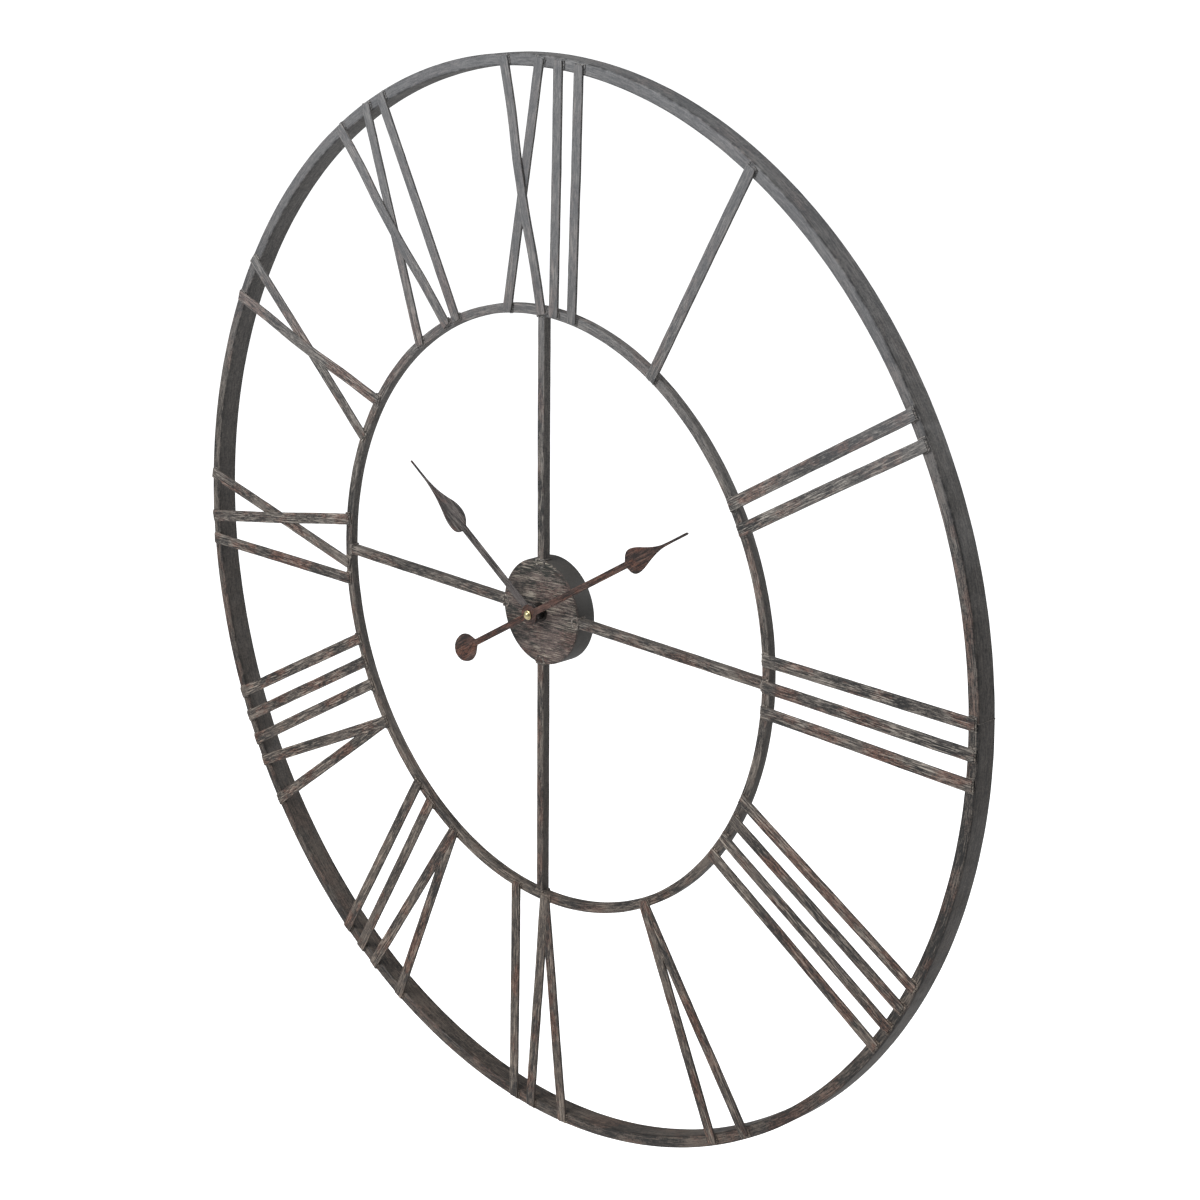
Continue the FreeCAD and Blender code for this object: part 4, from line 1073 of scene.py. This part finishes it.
RUSTED = {
    "Dark": srgb(34, 25, 23),
    "Light": srgb(96, 70, 62),
    "Rust": srgb(132, 86, 68),
    "Silver": srgb(158, 130, 114),
    "Rust Amount": 0.8,
    "Silver Amount": 0.35,
    "Pitting": 1.0,
}
hour_stations = [
    (-BOSS_RADIUS, 0.0),
    (0.0, HOUR_STEM),
    (0.1105, HOUR_STEM),
    (0.1135, 0.0082),
    (0.1185, 0.0118),
    (0.1255, 0.0128),
    (0.1340, 0.0116),
    (0.1450, 0.0076),
    (0.1560, 0.0042),
    (0.1680, 0.0020),
    (0.1760, NEEDLE),
    (0.2010, NEEDLE * 0.6),
]
minute_stations = [
    (-0.1175, 0.0),
    (-0.1162, 0.0052),
    (-0.1120, 0.0096),
    (-0.1050, 0.0124),
    (-0.0980, 0.0128),
    (-0.0910, 0.0100),
    (-0.0868, 0.0058),
    (-0.0840, MINUTE_STEM),
    (0.0, MINUTE_STEM),
    (0.1445, MINUTE_STEM),
    (0.1470, 0.0072),
    (0.1515, 0.0106),
    (0.1575, 0.0112),
    (0.1650, 0.0096),
    (0.1760, 0.0058),
    (0.1860, 0.0030),
    (0.1970, 0.0014),
    (0.2300, NEEDLE),
]
HOUR_HEIGHT = frame_front + 0.009
MINUTE_HEIGHT = frame_front + 0.0126
hour_blade = hand_mesh("hour_blade", hour_stations, HOUR_HEIGHT, 303.5)
hour_values = {
    "Dark": srgb(40, 38, 38),
    "Light": srgb(98, 92, 90),
    "Rust": srgb(104, 66, 56),
    "Silver": srgb(180, 172, 164),
    "Rust Amount": 0.2,
    "Silver Amount": 0.3,
    "Pitting": 0.6,
}
hour_blade.materials.append(hand_material("hour_hand_iron", hour_values, 0.100))
finished_piece("hour_spade_hand", hour_blade, "hour", ["hour_hand"])

minute_blade = hand_mesh("minute_blade", minute_stations, MINUTE_HEIGHT, 59.0)
minute_blade.materials.append(hand_material("minute_hand_rust", RUSTED))
finished_piece("minute_spade_hand", minute_blade, "minute", ["minute_hand"])


# ---- Hand nut ----
# A small domed brass nut closes the stack in front of the minute hand. It is turned from bar,
# with a narrow flange behind its dome.

nut_low, nut_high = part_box("hand_nut")
nut_radius = (nut_high.x - nut_low.x) / 2
nut_back, nut_front = -nut_high.y, -nut_low.y


def metal_material(name, colour, roughness, scratch_scale, scratch_depth, tarnish):
    """Bare metal: fine turned or brushed scratches, and a tarnish that dulls it in clouds."""
    material, tree, output = new_material(name)
    place = tree.nodes.new("ShaderNodeTexCoord").outputs["Object"]
    scratches = noise(tree, stretch(tree, place, (1.0, 9.0, 9.0)), scratch_scale, 3.0, 0.6)
    clouds = noise(tree, place, scratch_scale * 0.4, 4.0, 0.6)
    dulled = tuple(level * 0.55 for level in colour[:3]) + (1,)
    shade = blend_colour(tree, band(tree, clouds, 0.45, 0.7, tarnish), colour, dulled)
    rough = calc(tree, "ADD", roughness, calc(tree, "MULTIPLY", clouds, 0.2))
    normal = bumped(tree, scratches, 0.6, scratch_depth)
    surface = {"Base Color": shade, "Roughness": rough, "Metallic": 1.0, "Normal": normal}
    principled(tree, output, surface)
    return material


brass = metal_material("turned_brass", srgb(226, 212, 164), 0.22, 900.0, 0.00004, 0.4)
flange = nut_back + 0.0011
dome = [
    (nut_radius * 0.80 * math.cos(a), flange + 0.0004 + (nut_front - flange - 0.0004) * math.sin(a))
    for a in [index * math.pi / 16 for index in range(9)]
]
nut_foot = [
    (0.0, nut_back),
    (nut_radius * 0.93, nut_back),
    (nut_radius, nut_back + 0.0002),
    (nut_radius, flange - 0.0002),
    (nut_radius * 0.93, flange),
    (nut_radius * 0.82, flange),
]
nut_mesh = turned_mesh("nut", nut_foot + dome, 72)
nut_mesh.materials.append(brass)
finished_piece("domed_brass_nut", nut_mesh, "minute", ["hand_nut"])

# ---- Hanging plate ----
# A piece of strip welded across the top of the drum, with the hole that the clock hangs by.
# It has the same graphite paint as the drum's wall, with more rubbing and rust all over.


def finish_nodes(material, *names):
    """Gives carried-over pieces, left as they are, their material."""
    for name in names:
        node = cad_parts[name]
        node.data.materials.clear()
        node.data.materials.append(material)


strip_values = {**wall_values, "Silver Amount": 0.6, "Rust Amount": 0.5}
finish_nodes(solid_material("strip_paint", strip_values, 0.0002, 8), "hanger_plate")


# ---- Movement case ----
# The quartz movement's two mouldings are black styrene with a fine sparked texture. Household
# dust lies on them, and it shows as a paler bloom.


def moulded_material(name, colour, roughness, texture, texture_depth, bloom):
    """Moulded plastic: fine even texture, a faint bloom in clouds, and a few rubbed marks."""
    material, tree, output = new_material(name)
    place = tree.nodes.new("ShaderNodeTexCoord").outputs["Object"]
    grains = noise(tree, place, texture, 2.0, 0.6)
    clouds = noise(tree, place, 55.0, 4.0, 0.6)
    marks = noise(tree, stretch(tree, place, (1.0, 1.0, 9.0)), 160.0, 3.0, 0.6)
    faded = tuple(min(1.0, level * 0.7 + 0.10) for level in colour[:3]) + (1,)
    shade = blend_colour(tree, band(tree, clouds, 0.45, 0.75, bloom), colour, faded)
    rubbed = blend_colour(tree, band(tree, marks, 0.60, 0.70, bloom * 0.6), shade, faded)
    rough = calc(tree, "MULTIPLY_ADD", grains, 0.18, roughness)
    normal = bumped(tree, grains, 0.5, texture_depth)
    principled(tree, output, {"Base Color": rubbed, "Roughness": rough, "Normal": normal})
    return material


styrene = moulded_material("black_styrene", srgb(30, 30, 31), 0.48, 2600.0, 0.00006, 0.35)
cover_styrene = moulded_material("black_cover", srgb(36, 36, 37), 0.55, 1900.0, 0.00008, 0.45)
finish_nodes(styrene, "movement_case")
finish_nodes(cover_styrene, "movement_back_cover")


# ---- Fixing washers and nut ----
# A rubber washer behind the face grips it, and a blackened washer and hexagon nut in front,
# run down the bushing's thread, clamp the movement up.

blackened = metal_material("blackened_steel", srgb(74, 70, 67), 0.42, 700.0, 0.00005, 0.7)
finish_nodes(blackened, "steel_washer", "movement_nut")
rubber = moulded_material("washer_rubber", srgb(24, 24, 24), 0.78, 1500.0, 0.00008, 0.3)
finish_nodes(rubber, "rubber_washer")


# ---- Battery and contacts ----
# One AA cell in a printed film jacket, its last fifth copper coloured, between two leaf
# springs of nickel plated strip.


def jacket_material():
    """The cell's film: dark below, copper coloured at its top end, and bare steel at both ends."""
    material, tree, output = new_material("cell_jacket")
    place = tree.nodes.new("ShaderNodeTexCoord").outputs["Object"]
    height = wire(tree, "ShaderNodeSeparateXYZ", {0: place}).outputs["Z"]
    cell_low, cell_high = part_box("battery")
    length = cell_high.z - cell_low.z
    copper = band(tree, height, cell_high.z - 0.26 * length, cell_high.z - 0.255 * length)
    film = blend_colour(tree, copper, srgb(28, 30, 36), srgb(196, 128, 78))
    low_end = band(tree, calc(tree, "MULTIPLY", height, -1.0), -cell_low.z - 0.0012, -cell_low.z - 0.0010)
    high_end = band(tree, height, cell_high.z - 0.0026, cell_high.z - 0.0024)
    steel = calc(tree, "MAXIMUM", low_end, high_end)
    rubs = noise(tree, stretch(tree, place, (1.0, 1.0, 0.12)), 420.0, 3.0, 0.6)
    scuffs = band(tree, rubs, 0.58, 0.72, 0.35)
    scuffed = blend_colour(tree, scuffs, film, srgb(150, 148, 146))
    shade = blend_colour(tree, steel, scuffed, srgb(196, 196, 192))
    rough = calc(tree, "MULTIPLY_ADD", scuffs, 0.5, 0.24)
    principled(tree, output, {"Base Color": shade, "Roughness": rough, "Metallic": steel})
    return material


finish_nodes(jacket_material(), "battery")
nickel = metal_material("nickel_strip", srgb(206, 204, 196), 0.26, 1400.0, 0.00002, 0.35)
finish_nodes(nickel, "contact_positive", "contact_negative", "quartz_crystal", "clutch_spring")


# ---- Circuit, coil and stator ----
# The electrical side: a green laminate board with its chip under a drop of resin, a coil of
# enamelled copper on a pale bobbin, and a stator and core of soft iron round the magnet.


def laminate_material():
    """Green solder mask over faint copper tracks laid square, with tinned lands between them."""
    material, tree, output = new_material("green_laminate")
    place = tree.nodes.new("ShaderNodeTexCoord").outputs["Object"]
    flat = stretch(tree, place, (1.0, 0.0, 1.0))
    turned = wire(tree, "ShaderNodeMapping", {"Vector": flat, "Rotation": (math.pi / 2, 0, 0)})
    tracks = wire(
        tree,
        "ShaderNodeTexBrick",
        {
            "Vector": turned.outputs[0],
            "Scale": 260.0,
            "Mortar Size": 0.10,
            "Color1": (0, 0, 0, 1),
            "Color2": (0, 0, 0, 1),
            "Mortar": (1, 1, 1, 1),
        },
    )
    lands = wire(tree, "ShaderNodeTexVoronoi", {"Vector": turned.outputs[0], "Scale": 420.0})
    tinned = band(tree, calc(tree, "MULTIPLY", lands.outputs["Distance"], -1.0), -0.16, -0.12)
    mask = blend_colour(tree, tracks.outputs["Color"], srgb(16, 74, 42), srgb(44, 120, 66))
    shade = blend_colour(tree, tinned, mask, srgb(190, 188, 176))
    normal = bumped(tree, tracks.outputs["Fac"], 0.4, 0.00004)
    principled(tree, output, {"Base Color": shade, "Roughness": 0.32, "Normal": normal})
    return material


def winding_material():
    """Enamelled wire, close wound: a fine thread of turns along the coil."""
    material, tree, output = new_material("copper_winding")
    place = tree.nodes.new("ShaderNodeTexCoord").outputs["Object"]
    turns = wire(
        tree,
        "ShaderNodeTexWave",
        {"Vector": place, "Scale": 1600.0, "Distortion": 0.6, "Detail": 1.0, "Detail Scale": 2.0},
        bands_direction="X",
    )
    shade = blend_colour(tree, turns.outputs["Fac"], srgb(120, 58, 30), srgb(214, 128, 80))
    normal = bumped(tree, turns.outputs["Fac"], 0.8, 0.00008)
    surface = {"Base Color": shade, "Roughness": 0.3, "Metallic": 0.85, "Normal": normal}
    principled(tree, output, surface)
    return material


finish_nodes(laminate_material(), "circuit_board")
finish_nodes(winding_material(), "coil_winding")
resin = moulded_material("chip_resin", srgb(20, 20, 22), 0.30, 900.0, 0.00004, 0.15)
nylon = moulded_material("bobbin_nylon", srgb(214, 206, 186), 0.40, 1200.0, 0.00003, 0.2)
finish_nodes(resin, "driver_chip")
finish_nodes(nylon, "coil_bobbin")
soft_iron = metal_material("soft_iron", srgb(150, 150, 148), 0.36, 1100.0, 0.00003, 0.5)
finish_nodes(soft_iron, "stator", "coil_core", "rotor_magnet")


# ---- Wheels and arbors ----
# The train's wheels are moulded in acetal, natural or tinted so that they are not mixed up at
# assembly. The minute arbor is turned brass and the setting knob is grey.

natural = moulded_material("natural_acetal", srgb(226, 222, 208), 0.34, 1500.0, 0.00002, 0.15)
amber = moulded_material("amber_acetal", srgb(206, 168, 96), 0.34, 1500.0, 0.00002, 0.15)
blue_grey = moulded_material("blue_acetal", srgb(120, 138, 158), 0.34, 1500.0, 0.00002, 0.15)
finish_nodes(natural, "third_wheel", "intermediate_wheel", "hour_wheel")
finish_nodes(amber, "second_wheel", "reduction_wheel")
finish_nodes(blue_grey, "centre_wheel", "rotor_pinion")
knob_grey = moulded_material("knob_grey", srgb(120, 120, 122), 0.46, 1800.0, 0.00005, 0.3)
finish_nodes(knob_grey, "set_knob")
finish_nodes(brass, "minute_arbor")
